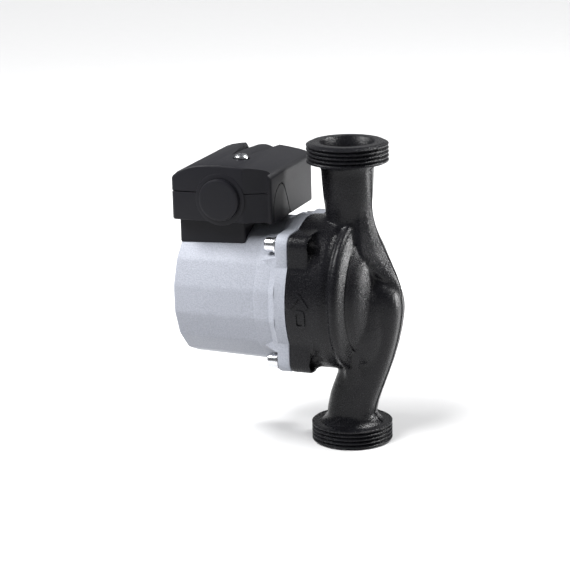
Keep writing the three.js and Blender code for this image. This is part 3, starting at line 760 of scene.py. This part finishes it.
def casting_seam(thing):
    """Raises the parting line of the casting along the pipes and the web."""
    bm = bmesh.new()
    bm.from_mesh(thing.data)
    width, height = SEAM_HALF_WIDTH * MM, picked("casing").seam
    drum_r = picked_mm("casing", "drum_radius")
    for y in (-width, 0.0, width):
        geometry = list(bm.verts) + list(bm.edges) + list(bm.faces)
        bmesh.ops.bisect_plane(bm, geom=geometry, dist=1e-6, plane_co=(0, y, 0), plane_no=(0, 1, 0))
    bm.normal_update()
    for v in bm.verts:
        outside = v.co.x > 15 * MM or abs(v.co.z / MM - MOTOR_Z) > drum_r + 1
        if abs(v.co.y) < 1e-5 and outside and abs(v.normal.y) < 0.3:
            in_bore = v.normal.x * v.co.x < 0 and abs(v.co.x) < 12 * MM and abs(v.co.z / MM - 90) > 62
            v.co += v.normal * (0.0 if in_bore else height)
    bm.to_mesh(thing.data)
    bm.free()


def stroke(start, end, width):
    """A bar drawn between two points of the arrow, long enough to reach the drum."""
    along = (Vector(end) - Vector(start)).normalized()
    across = Vector((-along.y, along.x)) * (width / 2)
    corners = [p + along * reach + across * side
               for p, reach in ((Vector(start), -0.6), (Vector(end), 0.3)) for side in (-1, 1)]
    return hull([(c.x, y, c.y) for c in corners for y in (-50, -30)])


def flow_arrow():
    """An upward arrow that stands proud of the drum's near side."""
    outer = rounded_outline(-18.6, 78.8, -12.0, 89.8, 2.4, 4)
    inner = rounded_outline(-17.0, 80.4, -13.6, 88.2, 1.2, 4)
    arrow = placed(pulled(outer, "Y", -50, -30), "arrow")
    boolean(arrow, [pulled(inner, "Y", -51, -29)], "DIFFERENCE")
    bars = [stroke((-15.3, 98.4), (-20.4, 91.4), 1.7), stroke((-15.3, 98.4), (-10.3, 91.4), 1.7)]
    boolean(arrow, bars, "UNION")
    reach = picked_mm("casing", "drum_radius") + 0.75
    shell = turned([(JOINT_X, 0), (JOINT_X, reach), (-4, reach), (-4, 0)], "X", MOTOR_AXIS, FINE_SIDES)
    boolean(arrow, [shell], "INTERSECT")
    return taken(arrow)


def casing():
    """The whole casing but for its threads."""
    flange = pulled(flange_outline(), "X", JOINT_X, LUG_BACK_X)
    pipe = placed(outlet_pipe(), "pipe")
    boolean(pipe, [pulled([(13.9, -20), (24, -20), (24, 20), (13.9, 20)], "Z", 110, 165.5)], "DIFFERENCE")
    solids = gathered(
        drum(), flange, taken(pipe), outlet_web(), inlet_lobe(), lobe_skirt(), inlet_pipe(), inlet_foot())
    whole = placed(solids, "volute_casing_skin")
    soft = [
        (lambda p: 126 < p.z < 140 and abs(p.y) < 20 and -19 < p.x < 8, 12),
        (lambda p: 36 < p.z < 66 and p.x < 20 and abs(p.y) < 27, 18),
        (lambda p: p.x > 12.5 and 88 < p.z < 112, 4),
        (lambda p: p.x > 19 and 82 < p.z < 101, 14),
    ]
    cast_skin(whole, picked_mm("casing", "skin"), 6, soft)
    line = [(12, 35.3), (8.7, 35.6), (8.35, 36.0), (8.8, 36.5), (12, 36.6)]
    groove = placed(turned(line, "X", MOTOR_AXIS, 192, ring=True), "rim_groove")
    boolean(groove, [outlet_web(), inlet_lobe(), lobe_skirt()], "DIFFERENCE")
    boolean(whole, [*water_ways(), taken(groove)], "DIFFERENCE")
    boolean(whole, [flow_arrow()], "UNION")
    casting_seam(whole)
    return finished(whole, PUMP, "black_iron", "volute_casing", sharp=50)


def thread_profile(face, inward):
    """Outline of a threaded collar from its sealing face."""
    crest, root = picked_mm("casing", "thread_crest"), picked_mm("casing", "thread_root")
    points = [(face + inward * 13.6, 12.2), (face + inward * 7.5, 12.8), (face + inward * 0.35, 15.9),
              (face, 16.4), (face, 21.3), (face + inward * 0.35, 21.9)]
    for i in range(THREAD_TURNS):
        base = face + inward * (1.1 + i * THREAD_PITCH)
        points += [(base, crest - 0.25), (base + inward * 0.2, crest), (base + inward * 0.62, crest),
                   (base + inward * 0.86, crest - 0.25), (base + inward * 1.42, root + 0.15),
                   (base + inward * 1.6, root), (base + inward * 1.78, root + 0.15)]
    back = face + inward * (1.1 + THREAD_TURNS * THREAD_PITCH)
    points += [(back, crest - 0.2), (back + inward * 0.3, crest), (back + inward * 0.95, crest),
               (back + inward * 1.25, crest - 0.35), (back + inward * 1.3, 19), (back + inward * 1.3, 12.2)]
    return points


def port_threads():
    """The threaded collars of both ports."""
    for name, face, inward in (("inlet_thread", 0, 1), ("outlet_thread", FACE_TO_FACE, -1)):
        collar = turned(thread_profile(face, inward), "Z", PIPE_AXIS, FINE_SIDES, ring=True)
        finished(placed(collar, name), PUMP, "black_iron", sharp=40)


# ------------------------------------------------------------------ the motor housing
def faceted(x0, r0, x1, r1, edge=0.0):
    """A sixteen-sided tapering body with a flat on top."""
    bm = bmesh.new()
    bmesh.ops.create_cone(
        bm, cap_ends=True, cap_tris=False, segments=HOUSING_SIDES, radius1=r0, radius2=r1, depth=x1 - x0)
    bmesh.ops.rotate(bm, verts=bm.verts, matrix=Matrix.Rotation(math.pi / HOUSING_SIDES, 3, "Z"))
    bmesh.ops.rotate(bm, verts=bm.verts, matrix=Matrix.Rotation(math.pi / 2, 3, "Y"))
    bmesh.ops.translate(bm, verts=bm.verts, vec=((x0 + x1) / 2, 0, MOTOR_Z))
    if edge:
        long_edges = [e for e in bm.edges if abs((e.verts[0].co - e.verts[1].co).normalized().x) > 0.9]
        round_edges(bm, long_edges, edge, 3)
        rims = [e for e in bm.edges
                if all(abs(v.co.x - x0) < 0.01 for v in e.verts) and len(e.link_faces) == 2
                and any(len(f.verts) > 8 for f in e.link_faces)]
        round_edges(bm, rims, 2.0, 3)
    return bm


def plate_gusset(out, up):
    """A rib between the housing and one corner of its flange; out and up are its sides, -1 or 1."""
    return hull([
        (-46.5, out * 30, MOTOR_Z + up * 21.5), (-46.5, out * 32.8, MOTOR_Z + up * 23.5),
        (-45.0, out * 30, MOTOR_Z + up * 28.0), (-31.0, out * 38.6, MOTOR_Z + up * 22.0),
        (-31.0, out * 38.6, MOTOR_Z + up * 28.4), (-31.0, out * 28, MOTOR_Z + up * 20.5),
        (-31.0, out * 28, MOTOR_Z + up * 31.5), (-38.5, out * 34.6, MOTOR_Z + up * 25.5),
    ])


def motor_shell():
    """The die-cast housing: faceted body, stepped collar, square flange, ribs and screw pockets."""
    end_r, flange_r = picked_mm("motor", "end_radius"), picked_mm("motor", "flange_radius")
    rounding, drum_r = picked_mm("motor", "facet_round"), picked_mm("casing", "drum_radius")
    shell = placed(faceted(HOUSING_END_X, end_r, -31.0, flange_r, rounding), "motor_shell")
    collar = faceted(-44.8, flange_r + 0.05, -30.5, flange_r + 0.4, rounding)
    flare = faceted(-35.6, 43.4, -30.8, 45.6, 1.4)
    flange = pulled(flange_outline(), "X", MOTOR_FLANGE_X, JOINT_X, 0.9, 3)
    disc = turned([(MOTOR_FLANGE_X, 0), (MOTOR_FLANGE_X, drum_r - 0.8), (MOTOR_FLANGE_X + 0.8, drum_r),
                   (JOINT_X, drum_r), (JOINT_X, 0)], "X", MOTOR_AXIS)
    boolean(shell, [collar, flare, flange, disc] + [plate_gusset(*corner) for corner in CORNERS], "UNION")
    cuts = [turned([(-90, 0), (-90, 36), (-88, 37.2), (-20, 37.2), (-20, 0)], "X", MOTOR_AXIS, 64),
            turned([(-98, 0), (-98, 11.2), (-94.4, 10), (-80, 10), (-80, 0)], "X", MOTOR_AXIS, 48),
            rod(MOTOR_Z + 30, MOTOR_Z + 50, 6.5, "Z", LEAD_HOLE, 32)]
    pocket = [(-42.6, 0), (-42.6, 4.2), (-41.8, 5.4), (MOTOR_FLANGE_X, 5.4), (MOTOR_FLANGE_X, 0)]
    for centre in lug_centres():
        cuts += [turned(pocket, "X", centre, 32), rod(-34, -20, 3.3, "X", centre, 24)]
    boolean(shell, cuts, "DIFFERENCE")
    finished(shell, PUMP, "cast_aluminium", "motor_housing", sharp=28)


def hexagon(radius):
    """A hexagon's corners."""
    return arc_points(0, 0, radius, 0, 300, 5)


def flange_screws():
    """Four socket head screws that hold the motor on the casing."""
    seat = MOTOR_FLANGE_X - 0.05
    profile = [(-38.4, 0), (-38.4, 3.7), (-38.1, 4.1), (-37.6, 4.3), (-33.0, 4.3), (-32.6, 4.5),
               (-32.6, 4.9), (seat, 4.9), (seat, 2.9), (LUG_BACK_X - 5.0, 2.9),
               (LUG_SCREW_END_X, 2.2), (LUG_SCREW_END_X, 0)]
    for number, centre in enumerate(lug_centres(), 1):
        screw = placed(turned(profile, "X", centre, 40), "flange_screw_%d" % number)
        _, y, z = centre
        socket = [(a + y, b + z) for a, b in hexagon(picked_mm("motor", "socket"))]
        boolean(screw, [pulled(socket, "X", -40, -35.4)], "DIFFERENCE")
        finished(screw, PUMP, "steel", "motor_screw_%d" % number, sharp=30)


def vent_screw():
    """The slotted plug in the middle of the motor's end."""
    profile = [(-100.6, 0), (-100.6, 11.2), (-100.3, 12.0), (-99.6, 12.6), (-97.4, 12.8),
               (-96.5, 12.4), (-96.5, 9.6), (-87, 9.6), (-87, 0)]
    plug = placed(turned(profile, "X", MOTOR_AXIS, 72), "vent_screw")
    slot = pulled(rounded_outline(-9.6, MOTOR_Z - 1.15, 9.6, MOTOR_Z + 1.15, 0.8, 3), "X", -102, -98.6)
    dish = turned([(-102, 0), (-102, 8.6), (-100.4, 8.2), (-100.1, 0)], "X", MOTOR_AXIS, 48)
    boolean(plug, [dish, slot], "DIFFERENCE")
    finished(plug, PUMP, "brass", "vent_plug", sharp=30)


def rating_ring():
    """A blank ring plate round the vent plug, with a raised rim and four rivets."""
    low, high = box_mm("rating_plate")
    front, back = low.x, high.x
    ring = [(front + 0.1, 16.0), (front, 16.3), (front, 17.2), (front + 0.18, 17.5),
            (front + 0.18, 29.4), (front, 29.7), (front, 30.6), (front + 0.15, 31.0),
            (back, 31.0), (back, 16.0)]
    rivet = [(front - 0.35, 0), (front - 0.25, 0.8), (front + 0.15, 1.3), (back, 1.3), (back, 0)]
    spots = [arc_points(0, MOTOR_Z, 23.5, angle, angle, 1)[0] for angle in (45, 135, 225, 315)]
    rivets = [turned(rivet, "X", (0, y, z), 16) for y, z in spots]
    plate = placed(turned(ring, "X", MOTOR_AXIS, ring=True), "rating_ring")
    boolean(plate, rivets, "UNION")
    finished(plate, PUMP, "stainless", "rating_plate", sharp=30)


# ------------------------------------------------------------------ the terminal box
def box_plan():
    """The box seen from above."""
    return rounded_outline(
        BASE_LOW.x, -BOX_HALF_Y, BASE_HIGH.x, BOX_HALF_Y, picked_mm("box", "corner"), 5)


def box_room():
    """Plan of the room inside the box, with a thicker wall behind the scooped pocket."""
    wall = picked_mm("box", "wall")
    return rounded_outline(
        BASE_LOW.x + wall, -BOX_HALF_Y + NEAR_WALL, BASE_HIGH.x - wall - 0.6, BOX_HALF_Y - wall, 1.2, 3)


def near_recess():
    """The scooped pocket beside the thin end plate, on the near side."""
    return pulled([(-53, -36), (-53, -34.52), (-51.6, -34.2), (-50, -33.4), (-46, -31.3), (-41, -29.2),
                   (-38, -28.5), (-36.8, -28.8), (-36.5, -29.6), (-36.4, -36)], "Z", 130, COVER_HIGH.z + 2)


KNOCK_OUT = ((-30.5, 135), (-30.3, 145.5), (-28.8, 150.5), (-25.4, 154.3), (-21.4, 156.6), (-17.7, 157.3),
             (-14.6, 156.3), (-11.8, 153.3), (-9.3, 148.8), (-6.4, 142.6), (-2.6, 135))


def end_cuts():
    """The knock-out's arched groove and the joint line of the end plate, in the face towards the casing."""
    face = BASE_HIGH.x
    cuts = []
    for (y0, z0), (y1, z1) in zip(KNOCK_OUT, KNOCK_OUT[1:]):
        along = Vector((0, y1 - y0, z1 - z0)).normalized()
        across = Vector((0, -along.z, along.y)) * (picked_mm("box", "line") / 2)
        cuts.append(hull([Vector((x, y, z)) + along * reach + across * side
                          for y, z, reach in ((y0, z0, -0.2), (y1, z1, 0.2))
                          for x in (face - 0.9, face + 1) for side in (-1, 1)]))
    joint_line = [(-33.7, 141), (-33.1, 141), (-33.1, 162.4), (-33.7, 162.4)]
    cuts.append(pulled(joint_line, "X", face - 0.6, face + 2))
    return cuts


def entry_holes():
    """The cable entries through both long sides."""
    return [rod(start, end, 10.2, "Y", ENTRY, 48) for start, end in ((-40, -28), (28, 40))]


def end_block(start):
    """Everything from a level across the box to well past its end."""
    corners = [(start, -PAST_BOX), (-30, -PAST_BOX), (-30, PAST_BOX), (start, PAST_BOX)]
    return pulled(corners, "Z", 130, 160)


def box_base():
    """The lower half of the terminal box with the saddle that sits on the housing."""
    base = placed(pulled(box_plan(), "Z", SHELF_Z, BOX_SPLIT_Z - 0.15, 0.9, 3), "box_base")
    saddle = rounded_outline(SADDLE_X0, -SADDLE_HALF_Y, SADDLE_X1, SADDLE_HALF_Y, 1.4, 4)
    boolean(base, [pulled(saddle, "Z", 117, SHELF_Z + 1)], "UNION")
    hollow = pulled(box_room(), "Z", SHELF_Z + picked_mm("box", "wall"), BOX_SPLIT_Z + 1)
    wall = 2.4
    under = rounded_outline(
        SADDLE_X0 + wall, -SADDLE_HALF_Y + wall, SADDLE_X1 - wall, SADDLE_HALF_Y - wall, 1, 3)
    under = pulled(under, "Z", 110, SHELF_Z - 1)
    end_r, flange_r = picked_mm("motor", "end_radius"), picked_mm("motor", "flange_radius")
    seat = faceted(HOUSING_END_X - 4, end_r + 0.2, -31.0, flange_r + 0.3)
    switch = rod(SWITCH.x - 3, SWITCH.x + 4, 5.3, "X", (0, SWITCH.y, SWITCH.z), 32)
    past = end_block(END_PLATE_X - 0.1)
    boolean(base, [hollow, under, seat, near_recess(), switch, past, *entry_holes()], "DIFFERENCE")
    finished(base, PUMP, "black_plastic", "terminal_box_base", sharp=30)


CROWN = (
    (-96.6, 160.2), (-95.6, 161.8), (-92.5, 164.4), (-88.6, 166.4), (-84.5, 167.8), (-79, 168.8),
    (-73, 169.3), (-65, 169.5), (-57, 169.1), (-48.6, 168.1), (-42.5, 167.1), (-38.6, 166.2),
    (-36.4, 165.1), (-35.1, 163.8), (-34.5, 162.4))


def tongue_cut():
    """The dip round the raised tongue, deep at the far edge and running out beside the screw."""
    outline = [(-1.26, 6), (-1.22, 3.6), (-1.04, 0.4)]
    outline += [(-0.96 + 0.12 * i, 0.25 + 3.05 * math.sin(math.pi * (i + 0.4) / 16.8)) for i in range(17)]
    outline += [(1.04, 0.4), (1.22, 3.6), (1.26, 6)]
    frames = []
    for y, half, lift in ((BOX_HALF_Y + 2, 9.3, 164.9), (20, 7.5, 166.4), (5, 5.6, 167.9), (-6, 4.6, 169.2)):
        turned_to = Matrix(((half, 0, 0), (0, 0, -1), (0, 1, 0))).to_4x4()
        frames.append(Matrix.Translation((-65.2, y, lift)) @ turned_to)
    return swept(outline, frames)


def end_plate():
    """The thin plate towards the casing, which hangs from the lid and carries the knock-out."""
    plate = placed(pulled(box_plan(), "Z", SHELF_Z, BOX_SPLIT_Z + 3, 0.9, 3), "plate")
    boolean(plate, [end_block(END_PLATE_X)], "INTERSECT")
    return taken(plate)


def box_cover():
    """The crowned lid with its end plate."""
    low = BOX_SPLIT_Z + BOX_GAP
    bm = pulled([*CROWN, (BASE_HIGH.x, low), (BASE_LOW.x, low)], "Y", -BOX_HALF_Y, BOX_HALF_Y)
    rims = [e for e in bm.edges
            if all(v.co.z > 159 and abs(abs(v.co.y) - BOX_HALF_Y) < 0.01 for v in e.verts)
            and abs(e.verts[0].co.y - e.verts[1].co.y) < 0.01]
    round_edges(bm, rims, picked_mm("box", "top_round"), 3)
    cover = placed(bm, "box_cover")
    posts = pulled(box_plan(), "Z", BOX_SPLIT_Z - 2, COVER_HIGH.z + 4)
    boolean(cover, [posts], "INTERSECT")
    inner = [(x, z - 2.6) for x, z in CROWN if -94.2 < x < -37]
    inner += [(-36.9, 161), (-36.9, 150), (-94.2, 150), (-94.2, 160)]
    hollow = pulled(inner, "Y", -BOX_HALF_Y + NEAR_WALL, BOX_HALF_Y - 2.4)
    sink = turned([(168.2, 0), (168.2, 4.6), (169.2, 5.0), (172, 5.4), (172, 0)], "Z", COVER_SCREW, 40)
    boolean(cover, [hollow, tongue_cut(), sink], "DIFFERENCE")
    boolean(cover, [end_plate()], "UNION")
    boolean(cover, [near_recess(), *entry_holes(), *end_cuts()], "DIFFERENCE")
    finished(cover, PUMP, "black_plastic", "terminal_box_cover", "knock_out", sharp=30)


def lid_screw():
    """The cross-recessed pan head screw of the lid."""
    x, y, _ = COVER_SCREW
    top = SCREW_HIGH.z + SCREW_RISE
    profile = [(top, 0), (top - 0.15, 1.8), (top - 0.7, 3.1), (top - 1.5, 3.9), (top - 2.4, 4.1),
               (top - 2.6, 3.9), (top - 2.6, 1.7), (top - 26, 1.7), (top - 26, 0)]
    screw = placed(turned(profile, "Z", COVER_SCREW, 48), "lid_screw")
    arm = rounded_outline(-2.5, -0.55, 2.5, 0.55, 0.25, 2)
    turn = math.radians(28)
    for extra in (0, math.pi / 2):
        c, t = math.cos(turn + extra), math.sin(turn + extra)
        cross = [(x + a * c - b * t, y + a * t + b * c) for a, b in arm]
        boolean(screw, [pulled(cross, "Z", top - 2.2, top + 1)], "DIFFERENCE")
    finished(screw, PUMP, "steel", "cover_screw", sharp=30)


def blank_disc():
    """The round plug that closes the near cable entry, with its low collar."""
    wall = -BOX_HALF_Y
    collar = [(wall + 5, 0), (wall + 5, 9.8), (wall + 0.05, 9.8), (wall + 0.05, 15.3),
              (wall - 0.2, 15.2), (wall - 0.35, 14.9), (wall - 0.35, 12.35)]
    disc = [(wall - 1.8, 12.3), (wall - 2.6, 12.0), (wall - 3.0, 11.3), (wall - 3.1, 10.4),
            (wall - 3.0, 0)]
    plug = placed(turned(collar + disc, "Y", ENTRY), "blank_disc")
    finished(plug, PUMP, "black_plastic", "cable_blanking_plug", sharp=30)


def cable_gland():
    """The strain relief on the far side: flanged body and domed ribbed nut."""
    wall = BOX_HALF_Y
    profile = [(wall - 5, 6.2), (wall - 5, 9.7), (wall + 0.1, 9.7), (wall + 0.1, 12.3),
               (wall + 3.1, 12.3), (wall + 3.5, 11.9), (wall + 3.5, 9.2), (wall + 10, 9.2),
               (wall + 10, 6.2)]
    body = placed(turned(profile, "Y", ENTRY, 64, ring=True), "gland_body_turned")
    finished(body, PUMP, "black_plastic", "gland_body", sharp=30)
    profile = [(wall + 4, 9.9), (wall + 4, 12.0), (wall + 4.4, 12.4), (wall + 11.2, 12.4),
               (wall + 12.4, 11.8), (wall + 14.8, 9.4), (wall + 15.8, 8.0), (wall + 16, 7.2),
               (wall + 16, 5.2), (wall + 14.5, 5.2), (wall + 10.6, 9.9)]
    nut = placed(turned(profile, "Y", ENTRY, 72, ring=True), "gland_nut_ribbed")
    grips = [rod(wall + 3, wall + 13, 1.5, "Y", (x, 0, z), 16)
             for x, z in arc_points(ENTRY_X, ENTRY_Z, 13.1, 0, 330, 11)]
    boolean(nut, [gathered(*grips)], "DIFFERENCE")
    finished(nut, PUMP, "black_plastic", "gland_nut", sharp=30)


def selector_knob():
    """The three-speed knob: round skirt, grip bar and pointer mark."""
    low, high = box_mm("speed_knob")
    face = low.x
    centre = (0, SWITCH.y, SWITCH.z)
    skirt = [(face + 1.6, 0), (face + 1.6, 8.0), (face + 2.1, 8.7), (face + 3.0, 9.0),
             (SWITCH.x - 0.5, 9.0), (SWITCH.x - 0.5, 4.6), (high.x, 4.6), (high.x, 0)]
    knob = placed(turned(skirt, "X", centre, 72), "selector_knob")
    y, z = SWITCH.y, SWITCH.z
    grip = rounded_outline(y - 2.3, z - 7.6, y + 2.3, z + 7.6, 2.0, 5)
    boolean(knob, [pulled(grip, "X", face, face + 3, 0.5, 2)], "UNION")
    mark = rounded_outline(y - 0.4, z + 2.0, y + 0.4, z + 6.6, 0.3, 2)
    boolean(knob, [pulled(mark, "X", face - 1, face + 0.5)], "DIFFERENCE")
    finished(knob, "knob", "grey_plastic", "speed_knob", sharp=30)


# ------------------------------------------------------------------ CAD nodes that stay
def dress_cad_nodes():
    """Gives every CAD node its slot's finish."""
    slots = {s["node"]: s["material_slot"] for s in frame["record"]["subparts"]}
    for name, thing in frame["nodes"].items():
        thing.data.materials.clear()
        thing.data.materials.append(finish_of(slots[name]))


# ------------------------------------------------------------------ stage
def build_stage():
    """The pale floor, the lights and the camera."""
    bm = bmesh.new()
    bmesh.ops.create_grid(bm, x_segments=1, y_segments=1, size=12)
    mesh = bpy.data.meshes.new("floor")
    bm.to_mesh(mesh)
    bm.free()
    floor = bpy.data.objects.new("floor", mesh)
    bpy.context.scene.collection.objects.link(floor)
    mesh.materials.append(studio_paper())
    build_lights()
    build_camera()


def soft_light(name, place, aim, size, power):
    """A soft box aimed at a point."""
    light = bpy.data.lights.new(name, "AREA")
    light.shape = "RECTANGLE"
    light.size, light.size_y = size
    light.energy = power
    lamp = bpy.data.objects.new(name, light)
    lamp.location = place
    lamp.rotation_euler = (Vector(aim) - Vector(place)).to_track_quat("-Z", "Y").to_euler()
    bpy.context.scene.collection.objects.link(lamp)


def wide_light(name, turn, angle, strength):
    """A sun lamp with a wide soft disc; turn is how far it leans from straight down."""
    light = bpy.data.lights.new(name, "SUN")
    light.energy = strength
    light.angle = math.radians(angle)
    lamp = bpy.data.objects.new(name, light)
    lamp.rotation_euler = turn
    lamp.visible_glossy = False
    bpy.context.scene.collection.objects.link(lamp)


def build_lights():
    """A key light from the upper left, light from above, and boxes that draw the edges."""
    bpy.context.scene.view_settings.view_transform = "Standard"
    world = bpy.data.worlds.new("studio")
    bpy.context.scene.world = world
    world.use_nodes = True
    background = world.node_tree.nodes["Background"]
    background.inputs["Color"].default_value = (0.95, 0.97, 1, 1)
    background.inputs["Strength"].default_value = picked("stage").surround
    middle = (0, 0, MOTOR_Z * MM)
    key = Vector((0.34, 0.53, -0.78)).to_track_quat("-Z", "Y").to_euler()
    wide_light("key_light", key, 35, picked("stage").key)
    wide_light("top_light", (math.radians(-8), math.radians(10), 0), 75, picked("stage").fill)
    soft_light("left_box", (-0.65, -0.15, 0.85), middle, (0.32, 0.32), 10)
    soft_light("back_box", (0.5, 0.42, 0.95), middle, (0.22, 0.22), 14)
    soft_light("right_box", (0.78, 0.74, 0.17), middle, (0.16, 0.26), 8)
    soft_light("side_box", (0.95, 0.0, 0.62), middle, (0.14, 0.14), 1)
    soft_light("back_wall", (-0.42, 1.1, 0.55), middle, (1.0, 0.5), 0.7)


def build_camera():
    """A long lens a little above the pump, off the casing's near corner."""
    camera = bpy.data.cameras.new("camera")
    camera.sensor_width = 36
    camera.lens = picked("stage").lens
    eye = bpy.data.objects.new("camera", camera)
    place = Vector((0.4099, -1.164, 0.4299))
    aim = Vector((-0.036, -0.0119, 0.0948))
    roll = math.radians(-1.51)
    facing = (aim - place).to_track_quat("-Z", "Y").to_matrix().to_4x4()
    eye.matrix_world = Matrix.Translation(place) @ facing @ Matrix.Rotation(roll, 4, "Z")
    bpy.context.scene.collection.objects.link(eye)
    bpy.context.scene.camera = eye


# ------------------------------------------------------------------ operators and panel
class PUMP_OT_dress_frame(bpy.types.Operator):
    """Gives every CAD piece its procedural finish"""

    bl_idname = "pump.dress_frame"
    bl_label = "Finish the CAD pieces"

    def execute(self, context):
        dress_cad_nodes()
        return {"FINISHED"}


class PUMP_OT_casing(bpy.types.Operator):
    """Builds the volute casing's cast skin"""

    bl_idname = "pump.casing"
    bl_label = "Cast casing"

    def execute(self, context):
        casing()
        return {"FINISHED"}


class PUMP_OT_port_threads(bpy.types.Operator):
    """Turns the threaded collars of both ports"""

    bl_idname = "pump.port_threads"
    bl_label = "Port threads"

    def execute(self, context):
        port_threads()
        return {"FINISHED"}


class PUMP_OT_motor_shell(bpy.types.Operator):
    """Builds the sixteen-sided motor housing"""

    bl_idname = "pump.motor_shell"
    bl_label = "Motor shell"

    def execute(self, context):
        motor_shell()
        return {"FINISHED"}


class PUMP_OT_flange_screws(bpy.types.Operator):
    """Builds the four socket head screws of the motor flange"""

    bl_idname = "pump.flange_screws"
    bl_label = "Flange screws"

    def execute(self, context):
        flange_screws()
        return {"FINISHED"}


class PUMP_OT_vent_screw(bpy.types.Operator):
    """Builds the slotted vent plug"""

    bl_idname = "pump.vent_screw"
    bl_label = "Vent screw"

    def execute(self, context):
        vent_screw()
        return {"FINISHED"}


class PUMP_OT_rating_ring(bpy.types.Operator):
    """Builds the blank ring plate on the motor's end"""

    bl_idname = "pump.rating_ring"
    bl_label = "Rating ring"

    def execute(self, context):
        rating_ring()
        return {"FINISHED"}


class PUMP_OT_box_base(bpy.types.Operator):
    """Builds the terminal box's base and saddle"""

    bl_idname = "pump.box_base"
    bl_label = "Box base"

    def execute(self, context):
        box_base()
        return {"FINISHED"}


class PUMP_OT_box_cover(bpy.types.Operator):
    """Builds the terminal box's crowned lid"""

    bl_idname = "pump.box_cover"
    bl_label = "Box cover"

    def execute(self, context):
        box_cover()
        return {"FINISHED"}


class PUMP_OT_lid_screw(bpy.types.Operator):
    """Builds the lid's cross-recessed screw"""

    bl_idname = "pump.lid_screw"
    bl_label = "Lid screw"

    def execute(self, context):
        lid_screw()
        return {"FINISHED"}


class PUMP_OT_blank_disc(bpy.types.Operator):
    """Builds the disc that closes the near cable entry"""

    bl_idname = "pump.blank_disc"
    bl_label = "Blank disc"

    def execute(self, context):
        blank_disc()
        return {"FINISHED"}


class PUMP_OT_cable_gland(bpy.types.Operator):
    """Builds the far cable entry's gland body and nut"""

    bl_idname = "pump.cable_gland"
    bl_label = "Cable gland"

    def execute(self, context):
        cable_gland()
        return {"FINISHED"}


class PUMP_OT_selector_knob(bpy.types.Operator):
    """Builds the three-speed knob"""

    bl_idname = "pump.selector_knob"
    bl_label = "Speed knob"

    def execute(self, context):
        selector_knob()
        return {"FINISHED"}


class PUMP_OT_stage(bpy.types.Operator):
    """Lays the floor, hangs the lights and sets the camera"""

    bl_idname = "pump.stage"
    bl_label = "Stage"

    def execute(self, context):
        build_stage()
        return {"FINISHED"}


STEPS = (
    PUMP_OT_dress_frame,
    PUMP_OT_casing,
    PUMP_OT_port_threads,
    PUMP_OT_motor_shell,
    PUMP_OT_flange_screws,
    PUMP_OT_vent_screw,
    PUMP_OT_rating_ring,
    PUMP_OT_box_base,
    PUMP_OT_box_cover,
    PUMP_OT_lid_screw,
    PUMP_OT_blank_disc,
    PUMP_OT_cable_gland,
    PUMP_OT_selector_knob,
    PUMP_OT_stage,
)


class PUMP_PT_sidebar(bpy.types.Panel):
    """Lists the pump's settings and the steps that build it."""

    bl_idname = "PUMP_PT_sidebar"
    bl_label = "Circulator Pump"
    bl_space_type = "VIEW_3D"
    bl_region_type = "UI"
    bl_category = "Pump"

    def draw(self, context):
        for name, title, kind in GROUPS:
            column = self.layout.column(align=True)
            column.label(text=title)
            for setting in kind.__annotations__:
                column.prop(getattr(context.scene, "pump_" + name), setting)
        for step in STEPS:
            self.layout.operator(step.bl_idname)


CLASSES = tuple(kind for _, _, kind in GROUPS) + STEPS + (PUMP_PT_sidebar,)


def register():
    """Registers the classes and hangs the settings on the scene."""
    for kind in CLASSES:
        bpy.utils.register_class(kind)
    for name, _, kind in GROUPS:
        setattr(bpy.types.Scene, "pump_" + name, PointerProperty(type=kind))


def unregister():
    """Takes the settings and the classes away again."""
    for name, _, _ in GROUPS:
        delattr(bpy.types.Scene, "pump_" + name)
    for kind in reversed(CLASSES):
        bpy.utils.unregister_class(kind)


def main():
    """Builds the pump and its stage."""
    register()
    bpy.ops.pump.dress_frame()
    bpy.ops.pump.casing()
    bpy.ops.pump.port_threads()
    bpy.ops.pump.motor_shell()
    bpy.ops.pump.flange_screws()
    bpy.ops.pump.vent_screw()
    bpy.ops.pump.rating_ring()
    bpy.ops.pump.box_base()
    bpy.ops.pump.box_cover()
    bpy.ops.pump.lid_screw()
    bpy.ops.pump.blank_disc()
    bpy.ops.pump.cable_gland()
    bpy.ops.pump.selector_knob()
    bpy.ops.pump.stage()


if __name__ == "__main__":
    main()
